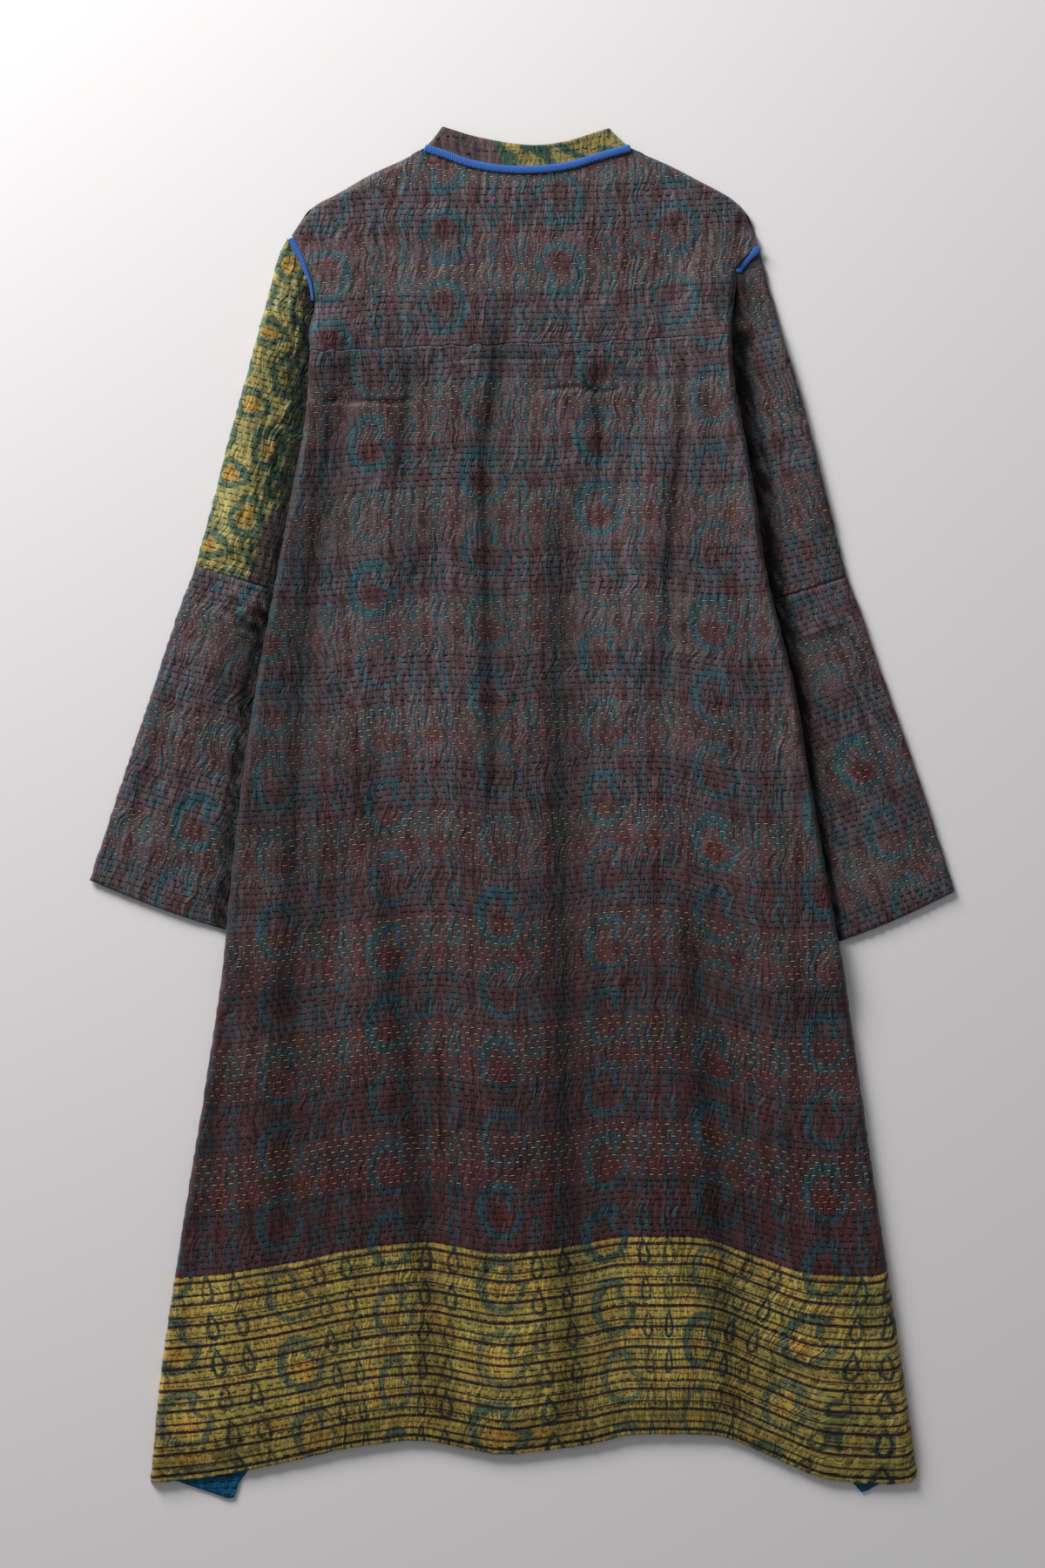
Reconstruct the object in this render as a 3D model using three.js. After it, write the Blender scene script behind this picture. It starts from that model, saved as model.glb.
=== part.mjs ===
// A long flared coat of quilted silk, laid face down so that its back is uppermost.
// Millimetres. X runs across the coat, Y from hem to collar, Z up from the table.
import * as THREE from 'three';

// Driving sizes of the cloth
const WALL = 2.2; // several layers of silk, stitched through
const SEAM = 0.3; // space left between pieces at a seam
const REST = 0.4; // space between cloths that lie on each other
const PUCKER = 0.5; // half the height of the ripples between the stitch rows
const SLEEVE_HEIGHT = 4.9; // a flattened sleeve, both walls and the air between
const SLEEVE_FOLD = 3; // how far in its folded edges reach that height
const SLEEVE_HOLLOW = { bottom: 1.8, top: 3.0, inset: 2 }; // the thin space inside it
const LIFT = SLEEVE_HEIGHT + PUCKER + REST; // how far a tucked sleeve raises the body
const LIFT_SLOPE = 46; // how far the body takes to come down from a sleeve
const FRONT_WALL = 2; // the two fronts under the back
const ROLL = 7; // how far in the turned sides of the back reach their full height
const TURN_END = 12; // the shoulders stop turning under this far from the neck

// How high the back floats over the fronts
const LOFT = { plain: 4.5, side: 6.0, neck: 3.0, armhole: 0.5, least: 1.9, most: 10 };

// Left and right edge of the lower back, one row for each level
const BODY_EDGES = [
  { y: -1, left: -329, right: 350 },
  { y: 92, left: -320, right: 337 },
  { y: 216, left: -302, right: 318 },
  { y: 339, left: -282, right: 300 },
  { y: 462, left: -264, right: 282 },
  { y: 534, left: -257, right: 269 },
  { y: 613, left: -248, right: 255 },
  { y: 703, left: -235, right: 240 },
  { y: 801, left: -217, right: 216 },
  { y: 868, left: -205, right: 206 },
  { y: 937, left: -192, right: 194 },
  { y: 982, left: -188.5, right: 186 },
  { y: 1016, left: -188, right: 185 },
];

// The hem, waved where the folds of the flare run out
const HEM = [
  { x: -329, y: -1 }, { x: -280, y: 4 }, { x: -214, y: 16 }, { x: -162, y: 28 },
  { x: -115, y: 35 }, { x: -86, y: 36 }, { x: -58, y: 31 }, { x: -18, y: 24 },
  { x: 24, y: 28 }, { x: 59, y: 33 }, { x: 94, y: 41 }, { x: 129, y: 42 },
  { x: 177, y: 40 }, { x: 212, y: 26 }, { x: 266, y: 3 }, { x: 297, y: -1 },
  { x: 330, y: -2 }, { x: 343, y: 0 }, { x: 350, y: 5 },
];

// The seam between yoke and lower back
const YOKE_SEAM = [
  { x: -188, y: 998 }, { x: -154, y: 999 }, { x: -31, y: 1004 }, { x: 77, y: 1006 }, { x: 185, y: 1013 },
];

// Armhole edges of the yoke, from the seam up to the shoulder points
const YOKE_EDGES = [
  { y: 998, left: -188, right: 185 },
  { y: 1016, left: -188, right: 185 },
  { y: 1040, left: -183, right: 186.5 },
  { y: 1056, left: -184.5, right: 187.5 },
  { y: 1070, left: -189, right: 188.5 },
  { y: 1080, left: -193, right: 196 },
  { y: 1090, left: -198, right: 205.5 },
  { y: 1101, left: -204, right: 205.8 },
];

// Shoulders and neck along the top of the yoke
const NECK = { left: -87, right: 96 };
const LEFT_SHOULDER = [
  { x: -204, y: 1101 }, { x: -188, y: 1123 }, { x: -161, y: 1139 }, { x: -135, y: 1154 },
  { x: -105, y: 1168 }, { x: -87, y: 1177 },
];
const RIGHT_SHOULDER = [
  { x: 96, y: 1177 }, { x: 129, y: 1163 }, { x: 158, y: 1148 }, { x: 185, y: 1133 },
  { x: 200, y: 1117 }, { x: 206, y: 1101 },
];
const BACK_NECK = [
  { x: -87, y: 1177 }, { x: -67, y: 1170.5 }, { x: -47, y: 1163.5 }, { x: -24, y: 1159 },
  { x: -1, y: 1157.5 }, { x: 22, y: 1158.5 }, { x: 44, y: 1162 }, { x: 67, y: 1169 }, { x: 96, y: 1177 },
];
const FRONT_NECK_DEPTH = 84; // the hidden front of the neck, below its highest points

// Top edge of the stand collar, which leans in towards the neck
const COLLAR_TOP = [
  { x: -71, y: 1196.5 }, { x: -39, y: 1187 }, { x: 6, y: 1180 }, { x: 37, y: 1183 },
  { x: 67, y: 1192 }, { x: 77, y: 1195 },
];
const COLLAR = { wall: 2, height: 24, frontMiddle: 1, backMiddle: 6.6 };

// Where the hem corners of the fronts hang below the back, and the straight hem between
const FRONT_HEM_LEFT = [
  { x: -325, y: 6 }, { x: -304, y: -0.5 }, { x: -257, y: -14 }, { x: -247, y: 10 },
  { x: -214, y: 22 }, { x: -60, y: 37 }, { x: -2, y: 39 },
];
const FRONT_HEM_RIGHT = [
  { x: 2, y: 39 }, { x: 160, y: 46 }, { x: 260, y: 20 }, { x: 292, y: 8 }, { x: 297, y: -9 },
  { x: 314, y: -3 }, { x: 345, y: 9 },
];
const FRONT_INSET = WALL + 1.3; // the fronts end inside the turned sides of the back
const FRONT_CORNER_INSET = 14; // and further inside at the shoulder corners
const CENTRE_GAP = 2; // half the opening between the two fronts

// Sleeves: outer edge by level, then the points that close each shape under the body
const LEFT_SLEEVE = {
  side: -1,
  outer: [
    { y: 531, x: -382.5 }, { y: 624, x: -352 }, { y: 726, x: -318 }, { y: 773, x: -302.5 },
    { y: 809, x: -289 }, { y: 935, x: -255.5 }, { y: 1020, x: -232 }, { y: 1082, x: -215.5 },
    { y: 1098, x: -207.5 },
  ],
  seamOuter: { x: -289, y: 809 },
  seamInner: { x: -152, y: 767 },
  cuffInner: { x: -225.5, y: 477.5 },
  cuffBow: 4,
};
const RIGHT_SLEEVE = {
  side: 1,
  outer: [
    { y: 521, x: 382 }, { y: 624, x: 349 }, { y: 726, x: 313 }, { y: 773, x: 297 },
    { y: 799, x: 286.5 }, { y: 850, x: 274 }, { y: 943, x: 250.5 }, { y: 1043, x: 221 },
    { y: 1089, x: 209 },
  ],
  seamOuter: { x: 286.5, y: 799 },
  seamInner: { x: 158, y: 759 },
  cuffInner: { x: 246, y: 466 },
  cuffBow: 4,
};
// The armhole ends of the sleeves follow the yoke, then run on under the body to the underarm
const LEFT_ARMHOLE = [
  { y: 855, x: -130 }, { y: 930, x: -158 }, { y: 1000, x: -176 }, { y: 1040, x: -184.3 },
  { y: 1056, x: -185.5 }, { y: 1070, x: -190.2 }, { y: 1085, x: -197 }, { y: 1098, x: -207.5 },
];
const RIGHT_ARMHOLE = [
  { y: 850, x: 133 }, { y: 930, x: 160 }, { y: 1000, x: 178 }, { y: 1040, x: 188 },
  { y: 1056, x: 189 }, { y: 1070, x: 190.5 }, { y: 1080, x: 199 }, { y: 1089, x: 209 },
];

// Folds of the back: height in the middle (troughs are negative), half width, how slowly its ends
// fade, and the line it follows, from its upper end down
const at = (x, y) => ({ x, y });
const FOLDS = [
  { height: -4.2, width: 15, fade: 60, line: [at(-158, 970), at(-173, 893), at(-196, 708), at(-208, 231)] },
  { height: -4.2, width: 13, fade: 70, line: [at(-19, 978), at(-31, 908), at(-29, 816), at(-23, 624)] },
  { height: -4.4, width: 22, fade: 90, line: [at(38, 816), at(38, 616), at(48, 60)] },
  { height: -3.6, width: 20, fade: 80, line: [at(154, 462), at(177, 231), at(192, 46)] },
  { height: -3.6, width: 18, fade: 80, line: [at(-127, 593), at(-85, 231), at(-69, 46)] },
  { height: -3.0, width: 10, fade: 30, line: [at(-100, 970), at(-104, 893)] },
  { height: -3.0, width: 10, fade: 30, line: [at(69, 970), at(71, 908)] },
  { height: -2.8, width: 11, fade: 60, line: [at(142, 955), at(127, 724)] },
  { height: 3.4, width: 24, fade: 90, line: [at(-110, 700), at(-120, 540), at(-150, 400)] },
  { height: 3.0, width: 26, fade: 90, line: [at(-70, 640), at(-40, 380), at(-46, 200)] },
  { height: 4.0, width: 24, fade: 70, line: [at(-10, 200), at(-8, 20)] },
  { height: 4.0, width: 28, fade: 80, line: [at(112, 300), at(130, 30)] },
  { height: 3.0, width: 24, fade: 90, line: [at(90, 800), at(100, 500)] },
  { height: 3.0, width: 22, fade: 90, line: [at(-228, 500), at(-262, 80)] },
  { height: 2.6, width: 26, fade: 90, line: [at(215, 520), at(268, 80)] },
];
// Tucks that pull the cloth in across the back under the yoke seam
const TUCKS = [
  { depth: 2.0, width: 4, from: -169, to: -103, y: 954 },
  { depth: 2.0, width: 4, from: -57, to: 181, y: 975 },
  { depth: 1.6, width: 3, from: 28, to: 78, y: 964 },
];
// The right shoulder drops away where it turns over the armhole
const SHOULDER_DROP = { x: 190, slope: 6, from: 1066, to: 1118, depth: 3.0 };

// Mesh density
const GRID = {
  bodyColumns: 96, yokeColumns: 64, yokeRows: 8, innerShare: 0.3,
  sleeveColumns: 24, sleeveRows: 9, sleeveUnder: 6, sleeveInnerColumns: 8, sleeveInnerRows: 4,
};
// Levels of the rows up the back, closest together where the cuffs lie under it
const LEVELS = [
  0, 20, 55, 100, 145, 190, 235, 280, 325, 370, 405, 430, 455, 480, 510, 555, 600, 650, 700, 750, 800, 850,
  895, 930, 955, 975, 1000,
];
const FRONT_LEVELS = [
  0, 20, 55, 120, 200, 280, 350, 395, 420, 445, 470, 500, 560, 640, 720, 800, 850, 900, 950, 990, 1020, 1050,
  1095,
];
// Places of the columns across each front, inwards from its side, set by the hanging corner of its hem
const FRONT_COLUMNS = {
  left: [0, 21, 45, 68, 78, 96, 112, 128, 148],
  right: [0, 16, 31, 48, 53, 80, 96, 112, 128, 148],
};

// Cloths and cord
const cloth = (color, roughness) => new THREE.MeshStandardMaterial({ color, roughness, metalness: 0 });
const MAROON = cloth(0x4a3a3f, 0.62);
const OLIVE = cloth(0x85793a, 0.6);
const TEAL = cloth(0x12586b, 0.65);
const COBALT = cloth(0x2440b0, 0.55);

const clamp01 = (t) => Math.min(1, Math.max(0, t));
const smooth = (t) => { const c = clamp01(t); return c * c * (3 - 2 * c); };
const mix = (a, b, t) => a + (b - a) * t;

// Smooth curve through a table: the value of one column at a value of another
function follow(rows, key, value) {
  const sorted = [...rows].sort((a, b) => a[key] - b[key]);
  const slope = (i) => {
    const a = sorted[Math.max(0, i - 1)];
    const b = sorted[Math.min(sorted.length - 1, i + 1)];
    return (b[value] - a[value]) / (b[key] - a[key]);
  };
  return (q) => {
    const next = sorted.findIndex((row) => row[key] > q);
    const i = next < 0 ? sorted.length - 2 : Math.max(0, next - 1);
    const span = sorted[i + 1][key] - sorted[i][key];
    const t = clamp01((q - sorted[i][key]) / span);
    const rise = (1 - t) * t * span;
    const bend = rise * ((1 - t) * slope(i) - t * slope(i + 1));
    return mix(sorted[i][value], sorted[i + 1][value], smooth(t)) + bend;
  };
}

// A boundary as a function of 0 to 1, from one end of a table to the other
function across(rows, from, to) {
  const y = follow(rows, 'x', 'y');
  return (t) => { const x = mix(from, to, t); return [x, y(x)]; };
}
function upward(rows, key, from, to) {
  const x = follow(rows, 'y', key);
  return (t) => { const y = mix(from, to, t); return [x(y), y]; };
}

// A four-sided sheet filled in between its boundaries
function patch(bottom, top, left, right) {
  return (u, v) => [0, 1].map((k) => (
    mix(bottom(u)[k], top(u)[k], v) + mix(left(v)[k], right(v)[k], u)
    - mix(mix(bottom(0)[k], bottom(1)[k], u), mix(top(0)[k], top(1)[k], u), v)
  ));
}

const sample = (curve, count) => Array.from({ length: count + 1 }, (_, i) => curve(i / count));

// Shortest distance from a point to a line of points
function distanceTo(line, x, y) {
  let best = Infinity;
  for (let i = 1; i < line.length; i += 1) {
    const [ax, ay] = line[i - 1];
    const [dx, dy] = [line[i][0] - ax, line[i][1] - ay];
    const t = clamp01(((x - ax) * dx + (y - ay) * dy) / (dx * dx + dy * dy));
    best = Math.min(best, Math.hypot(x - ax - t * dx, y - ay - t * dy));
  }
  return best;
}

function isInside(outline, x, y) {
  let inside = false;
  outline.forEach(([ax, ay], i) => {
    const [bx, by] = outline[(i + 1) % outline.length];
    if ((ay > y) !== (by > y) && x < ax + ((y - ay) * (bx - ax)) / (by - ay)) inside = !inside;
  });
  return inside;
}

// Outlines of the parts of the sleeves that lie under the body
const tucked = (sleeve, armhole) => {
  const beyond = sleeve.side * 60;
  const cuff = sleeve.cuffInner;
  return [
    [armhole[3].x, armhole[3].y], [armhole[1].x, armhole[1].y], [armhole[0].x, armhole[0].y],
    [sleeve.seamInner.x, sleeve.seamInner.y], [cuff.x, cuff.y - 8],
    [cuff.x + beyond, cuff.y + 12], [cuff.x + beyond, 900], [armhole[3].x + sleeve.side * 10, 1040],
  ];
};
const TUCKED = [tucked(LEFT_SLEEVE, LEFT_ARMHOLE), tucked(RIGHT_SLEEVE, RIGHT_ARMHOLE)];

// How far the tucked sleeves raise what lies on them
function lift(x, y) {
  const margin = 16;
  return Math.max(...TUCKED.map((outline) => {
    if (isInside(outline, x, y)) return LIFT;
    const away = distanceTo([...outline, outline[0]], x, y) - margin;
    return LIFT * smooth(1 - away / LIFT_SLOPE);
  }));
}

// Top edge of the coat without its collar: shoulder, back of the neck, shoulder
const leftShoulder = follow(LEFT_SHOULDER, 'x', 'y');
const rightShoulder = follow(RIGHT_SHOULDER, 'x', 'y');
const backNeck = follow(BACK_NECK, 'x', 'y');
function topEdge(x) {
  if (x < NECK.left) return leftShoulder(x);
  return x > NECK.right ? rightShoulder(x) : backNeck(x);
}

// Lines along which the back is turned under: its sides and its shoulders
const leftSide = sample(upward(BODY_EDGES, 'left', -1, 1016), 40);
const rightSide = sample(upward(BODY_EDGES, 'right', -1, 1016), 40);
const TURNED = [
  [...leftSide, [YOKE_EDGES[2].left, YOKE_EDGES[2].y]],
  [...rightSide, [YOKE_EDGES[4].right, YOKE_EDGES[4].y]],
  sample(across(LEFT_SHOULDER, -204, NECK.left - TURN_END), 12),
  sample(across(RIGHT_SHOULDER, NECK.right + TURN_END, 206), 12),
];
const toTurned = (x, y) => Math.min(...TURNED.map((line) => distanceTo(line, x, y)));
const toSides = (x, y) => Math.min(distanceTo(TURNED[0], x, y), distanceTo(TURNED[1], x, y));
const toShoulders = (x, y) => Math.min(distanceTo(TURNED[2], x, y), distanceTo(TURNED[3], x, y));
const toCorners = (x, y) => Math.min(Math.hypot(x + 204, y - 1101), Math.hypot(x - 206, y - 1101));
const neckLine = sample(across(BACK_NECK, NECK.left, NECK.right), 24);
const armholeLines = ['left', 'right'].map((key) => sample(upward(YOKE_EDGES, key, 1040, 1101), 8));
const toArmhole = (x, y) => Math.min(...armholeLines.map((line) => distanceTo(line, x, y)));

// Height that the folds and tucks add to the back at a point
const foldLines = FOLDS.map((fold) => ({
  ...fold,
  middle: follow(fold.line, 'y', 'x'),
  high: Math.max(...fold.line.map(({ y }) => y)),
  low: Math.min(...fold.line.map(({ y }) => y)),
}));
function folds(x, y) {
  let height = 0;
  foldLines.forEach(({ height: peak, width, fade, middle, high, low }) => {
    const along = smooth((y - low + fade) / fade) * smooth((high + fade - y) / fade);
    const off = (x - middle(Math.min(high, Math.max(low, y)))) / width;
    height += peak * along * Math.exp(-off * off);
  });
  TUCKS.forEach(({ depth, width, from, to, y: level }) => {
    const along = smooth((x - from) / 12 + 1) * smooth((to - x) / 12 + 1);
    height -= depth * along * Math.exp(-(((y - level) / width) ** 2));
  });
  return height;
}

// Height of the back over the fronts: free in the middle, set along its edges
function loft(x, y) {
  const free = Math.min(LOFT.most, Math.max(LOFT.least, LOFT.plain + folds(x, y)));
  const bySide = mix(LOFT.side, free, smooth(toSides(x, y) / 26));
  const byNeck = mix(LOFT.neck, bySide, smooth(distanceTo(neckLine, x, y) / 30));
  const byArmhole = mix(LOFT.armhole, byNeck, smooth(toArmhole(x, y) / 34));
  const drop = smooth((x - SHOULDER_DROP.x) / SHOULDER_DROP.slope + 0.5)
    * smooth((y - SHOULDER_DROP.from) / 8) * smooth((SHOULDER_DROP.to - y) / 12);
  return byArmhole - Math.min(byArmhole - LOFT.armhole, SHOULDER_DROP.depth) * drop;
}

const round = (distance, reach) => Math.sqrt(1 - (1 - clamp01(distance / reach)) ** 2);

// Outside of the back before its ripples, and the plain inside of its wall
function backOutside(x, y) {
  const height = FRONT_WALL + REST + WALL + loft(x, y);
  return lift(x, y) + height * round(toTurned(x, y), ROLL);
}
function backInside(x, y) {
  const height = FRONT_WALL + REST + loft(x, y);
  return lift(x, y) + height * round(toTurned(x, y) - WALL, ROLL - WALL);
}

// Ripples: every second column stands up, more in some places than in others
function ripple(column, row) {
  const sign = column % 2 ? 1 : -1;
  const uneven = 0.65 + 0.35 * Math.sin(1.9 * column + 2.7 * row) * Math.sin(0.37 * column - 1.3 * row);
  return PUCKER * sign * uneven;
}

// A closed solid from lists of points and triangles
function solid(name, points, triangles, material) {
  const geometry = new THREE.BufferGeometry();
  geometry.setAttribute('position', new THREE.Float32BufferAttribute(points.flat(), 3));
  geometry.setIndex(triangles.flat());
  geometry.computeVertexNormals();
  const mesh = new THREE.Mesh(geometry, material);
  mesh.name = name;
  return mesh;
}

// Triangles over a grid of point numbers, facing up when rows go up and columns go right
function gridFaces(grid) {
  const faces = [];
  for (let j = 1; j < grid.length; j += 1) {
    for (let i = 1; i < grid[j].length; i += 1) {
      const [a, b, c, d] = [grid[j - 1][i - 1], grid[j - 1][i], grid[j][i], grid[j][i - 1]];
      faces.push([a, b, c], [a, c, d]);
    }
  }
  return faces;
}

// How far along a side each of its points lies, from 0 to 1, seen from above
function progress(side, points) {
  const sums = [0];
  for (let i = 1; i < side.length; i += 1) {
    const [a, b] = [points[side[i - 1]], points[side[i]]];
    sums.push(sums[i - 1] + Math.hypot(b[0] - a[0], b[1] - a[1]) + 1e-6);
  }
  return sums.map((sum) => sum / sums[sums.length - 1]);
}

// A strip of triangles between two lines of points that run side by side
function stripFaces(upper, lower, points) {
  const faces = [];
  const [upperAt, lowerAt] = [progress(upper, points), progress(lower, points)];
  let i = 0;
  let j = 0;
  while (i < upper.length - 1 || j < lower.length - 1) {
    const lowerDone = j === lower.length - 1;
    if (lowerDone || (i < upper.length - 1 && upperAt[i + 1] <= lowerAt[j + 1])) {
      faces.push([upper[i], lower[j], upper[i + 1]]);
      i += 1;
    } else {
      faces.push([upper[i], lower[j], lower[j + 1]]);
      j += 1;
    }
  }
  return faces;
}

// The four sides of a grid, in order round it
function gridSides(grid) {
  const last = grid[0].length - 1;
  return [
    grid[0],
    grid.map((row) => row[last]),
    [...grid[grid.length - 1]].reverse(),
    grid.map((row) => row[0]).reverse(),
  ];
}

// A wall of cloth between an outer and an inner grid of points
function wall(name, outer, inner, material) {
  const points = [];
  const numbered = (grid) => grid.map((row) => row.map((point) => points.push(point) - 1));
  const above = numbered(outer);
  const below = numbered(inner);
  const faces = [...gridFaces(above), ...gridFaces(below).map(([a, b, c]) => [a, c, b])];
  const lowerSides = gridSides(below);
  gridSides(above).forEach((side, k) => faces.push(...stripFaces(side, lowerSides[k], points)));
  return solid(name, points, faces, material);
}

// Places of the columns or rows across a width: close together where the cloth is turned under
function spread(count, size, near, far, steps) {
  const start = near ? steps.map((s) => s / size) : [0];
  const end = far ? steps.map((s) => 1 - s / size).reverse() : [1];
  const [a, b] = [start[start.length - 1], end[0]];
  const middle = Array.from({ length: count - 1 }, (_, i) => mix(a, b, (i + 1) / count));
  return [...start, ...middle, ...end];
}
const OUTER_STEPS = [0, 0.9, 3, ROLL];
const INNER_STEPS = [0, 1, ROLL - WALL];

// A boundary moved in by the wall where it is turned under, and left alone elsewhere
function inset(curve) {
  const fade = 9;
  return (t) => {
    const [x, y] = curve(t);
    const bySide = 1 - clamp01(Math.min(toSides(x, y), toCorners(x, y)) / fade);
    const byShoulder = 1 - clamp01(toShoulders(x, y) / fade);
    return [x - Math.sign(x) * WALL * bySide, y - WALL * 1.15 * byShoulder];
  };
}

// One panel of the back from its four boundaries
function backPanel(name, edges, columns, rowPlaces, material) {
  const build = (plan, columnCount, steps, height) => rowPlaces.map((v, j) => {
    const size = plan(1, v)[0] - plan(0, v)[0];
    return spread(columnCount, size, true, true, steps).map((u, i, all) => {
      const [x, y] = plan(u, v);
      const edge = Math.min(i, all.length - 1 - i, j, rowPlaces.length - 1 - j);
      return [x, y, height(x, y) + (edge < 3 ? 0 : ripple(i, j) * (steps === OUTER_STEPS))];
    });
  });
  const innerColumns = Math.round(columns * GRID.innerShare);
  const outer = build(patch(...edges), columns, OUTER_STEPS, backOutside);
  const inner = build(patch(...edges.map(inset)), innerColumns, INNER_STEPS, backInside);
  return wall(name, outer, inner, material);
}

function makeBack() {
  const seamDown = (t) => { const [x, y] = across(YOKE_SEAM, -188, 185)(t); return [x, y - SEAM]; };
  const seam = across(YOKE_SEAM, -188, 185);
  const body = backPanel('back_body', [
    across(HEM, -329, 350), seamDown,
    upward(BODY_EDGES, 'left', -1, 998 - SEAM), upward(BODY_EDGES, 'right', 5, 1013 - SEAM),
  ], GRID.bodyColumns, LEVELS.map((level) => level / LEVELS[LEVELS.length - 1]), MAROON);
  const top = (t) => { const x = mix(-204, 206, t); return [x, topEdge(x)]; };
  const yoke = backPanel('back_yoke', [
    seam, top, upward(YOKE_EDGES, 'left', 998, 1101), upward(YOKE_EDGES, 'right', 1013, 1101),
  ], GRID.yokeColumns, spread(GRID.yokeRows, 150, false, true, OUTER_STEPS), MAROON);
  return [body, yoke];
}

// The fronts: flat sheets under the back, raised only where the sleeves lie beneath them
const NECK_POINT_Y = 1177;
function makeFront(name, key, hemRows) {
  const side = key === 'left' ? -1 : 1;
  const edge = follow([...BODY_EDGES.slice(0, -1), ...YOKE_EDGES.slice(1)], 'y', key);
  const cornerX = edge(1101) - side * FRONT_CORNER_INSET;
  const cornerY = topEdge(cornerX) - FRONT_CORNER_INSET;
  const ends = [hemRows[0], hemRows[hemRows.length - 1]];
  const [hemSide, hemCentre] = side < 0 ? ends : ends.reverse();
  const neckDrop = 4;
  const frontNeck = (t) => {
    const x = mix(NECK[key], side * CENTRE_GAP, t);
    return [x, NECK_POINT_Y - neckDrop - FRONT_NECK_DEPTH * Math.sin((t * Math.PI) / 2)];
  };
  const top = (t) => {
    if (t > 0.5) return frontNeck((t - 0.5) * 2);
    const x = mix(cornerX, NECK[key], t * 2);
    const below = mix(FRONT_CORNER_INSET, FRONT_INSET * 1.3, smooth(Math.abs(x - cornerX) / 45));
    return [x, topEdge(x) - below];
  };
  const sideLine = (t) => {
    const y = mix(hemSide.y, cornerY, t);
    const inwards = mix(FRONT_INSET, FRONT_CORNER_INSET, smooth((y - 1010) / 30));
    return [edge(y) - side * inwards, y];
  };
  const centre = (t) => [side * CENTRE_GAP, mix(hemCentre.y, frontNeck(1)[1], t)];
  const plan = patch(across(hemRows, hemSide.x, hemCentre.x), top, sideLine, centre);
  const grid = (thickness) => FRONT_LEVELS.map((level) => {
    const v = level / FRONT_LEVELS[FRONT_LEVELS.length - 1];
    const width = Math.abs(plan(1, v)[0] - plan(0, v)[0]);
    const near = FRONT_COLUMNS[key];
    const nearest = near.map((inwards) => inwards / width);
    const row = [...nearest, (1 + nearest[near.length - 1]) / 2, 1].map((u) => {
      const [x, y] = plan(u, v);
      return [x, y, lift(x, y) + thickness];
    });
    return side < 0 ? row : row.reverse();
  });
  return wall(name, grid(FRONT_WALL), grid(0), TEAL);
}

// Soft folds along the visible parts of the sleeves
const SLEEVE_FOLDS = [
  { height: 2.2, width: 11, from: [-228, 1010], to: [-262, 850] },
  { height: 2.0, width: 12, from: [-262, 760], to: [-322, 560] },
  { height: 1.6, width: 10, from: [-318, 700], to: [-352, 590] },
  { height: 2.2, width: 10, from: [230, 1005], to: [262, 860] },
  { height: 2.0, width: 12, from: [272, 760], to: [330, 560] },
  { height: 1.6, width: 10, from: [318, 680], to: [350, 580] },
];
function sleeveLoft(x, y) {
  return SLEEVE_FOLDS.reduce((sum, { height, width, from, to }) => (
    sum + height * Math.exp(-((distanceTo([from, to], x, y) / width) ** 2))
  ), 0);
}

// A flattened tube of cloth, open at both ends, its underside flat on the table
function sleevePiece(name, plan, material) {
  const half = SLEEVE_HEIGHT / 2;
  const topSteps = [0, 0.8, SLEEVE_FOLD];
  const point = (u, v, z) => [...plan(u, v), z];
  const widthAt = (v) => Math.hypot(plan(1, v)[0] - plan(0, v)[0], plan(1, v)[1] - plan(0, v)[1]);
  const outerRow = (v, j) => {
    const width = widthAt(v);
    const overTop = spread(GRID.sleeveColumns, width, true, true, topSteps).map((u, i, all) => {
      const [x, y] = plan(u, v);
      const nearEdge = Math.min(u, 1 - u) * width;
      const edge = Math.min(i, all.length - 1 - i);
      const raised = (half + sleeveLoft(x, y)) * round(nearEdge, SLEEVE_FOLD);
      return [x, y, half + raised + (edge < 2 ? 0 : ripple(i, j))];
    });
    const under = spread(GRID.sleeveUnder, width, true, true, [1.2]).reverse();
    return { top: overTop, under: under.map((u) => point(u, v, 0)) };
  };
  const innerRow = (v) => {
    const width = widthAt(v);
    const edge = SLEEVE_HOLLOW.inset / width;
    const places = spread(GRID.sleeveInnerColumns, width, true, true, [SLEEVE_HOLLOW.inset, 4]);
    const overTop = places.map((u) => {
      const [x, y] = plan(u, v);
      const atFold = Math.min(u, 1 - u) < edge * 1.01;
      return [x, y, atFold ? half : SLEEVE_HOLLOW.top + sleeveLoft(x, y)];
    });
    const under = spread(GRID.sleeveUnder, width, true, true, [4]).reverse();
    return { top: overTop, under: under.map((u) => point(u, v, SLEEVE_HOLLOW.bottom)) };
  };
  return { name, outerRow, innerRow, material };
}

// The closed solid of a tube from its rows of outside and inside points
function tube({ name, outerRow, innerRow, material }) {
  const points = [];
  const [outerCount, innerCount] = [GRID.sleeveRows, GRID.sleeveInnerRows];
  const number = (point) => points.push(point) - 1;
  const ring = ({ top, under }) => {
    const over = top.map(number);
    return { over, below: [over[over.length - 1], ...under.map(number), over[0]] };
  };
  const rows = (count, row) => Array.from({ length: count + 1 }, (_, j) => ring(row(j / count, j)));
  const outside = rows(outerCount, outerRow);
  const inside = rows(innerCount, innerRow);
  const skin = (rings) => [
    ...gridFaces(rings.map(({ over }) => over)), ...gridFaces(rings.map(({ below }) => below)),
  ];
  const turned = ([a, b, c]) => [a, c, b];
  const faces = [...skin(outside), ...skin(inside).map(turned)];
  ['over', 'below'].forEach((half) => {
    const [firstOut, firstIn] = [outside[0][half], inside[0][half]];
    const [lastOut, lastIn] = [outside[outerCount][half], inside[innerCount][half]];
    faces.push(...stripFaces(firstOut, firstIn, points));
    faces.push(...stripFaces(lastOut, lastIn, points).map(turned));
  });
  return solid(name, points, faces, material);
}

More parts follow.
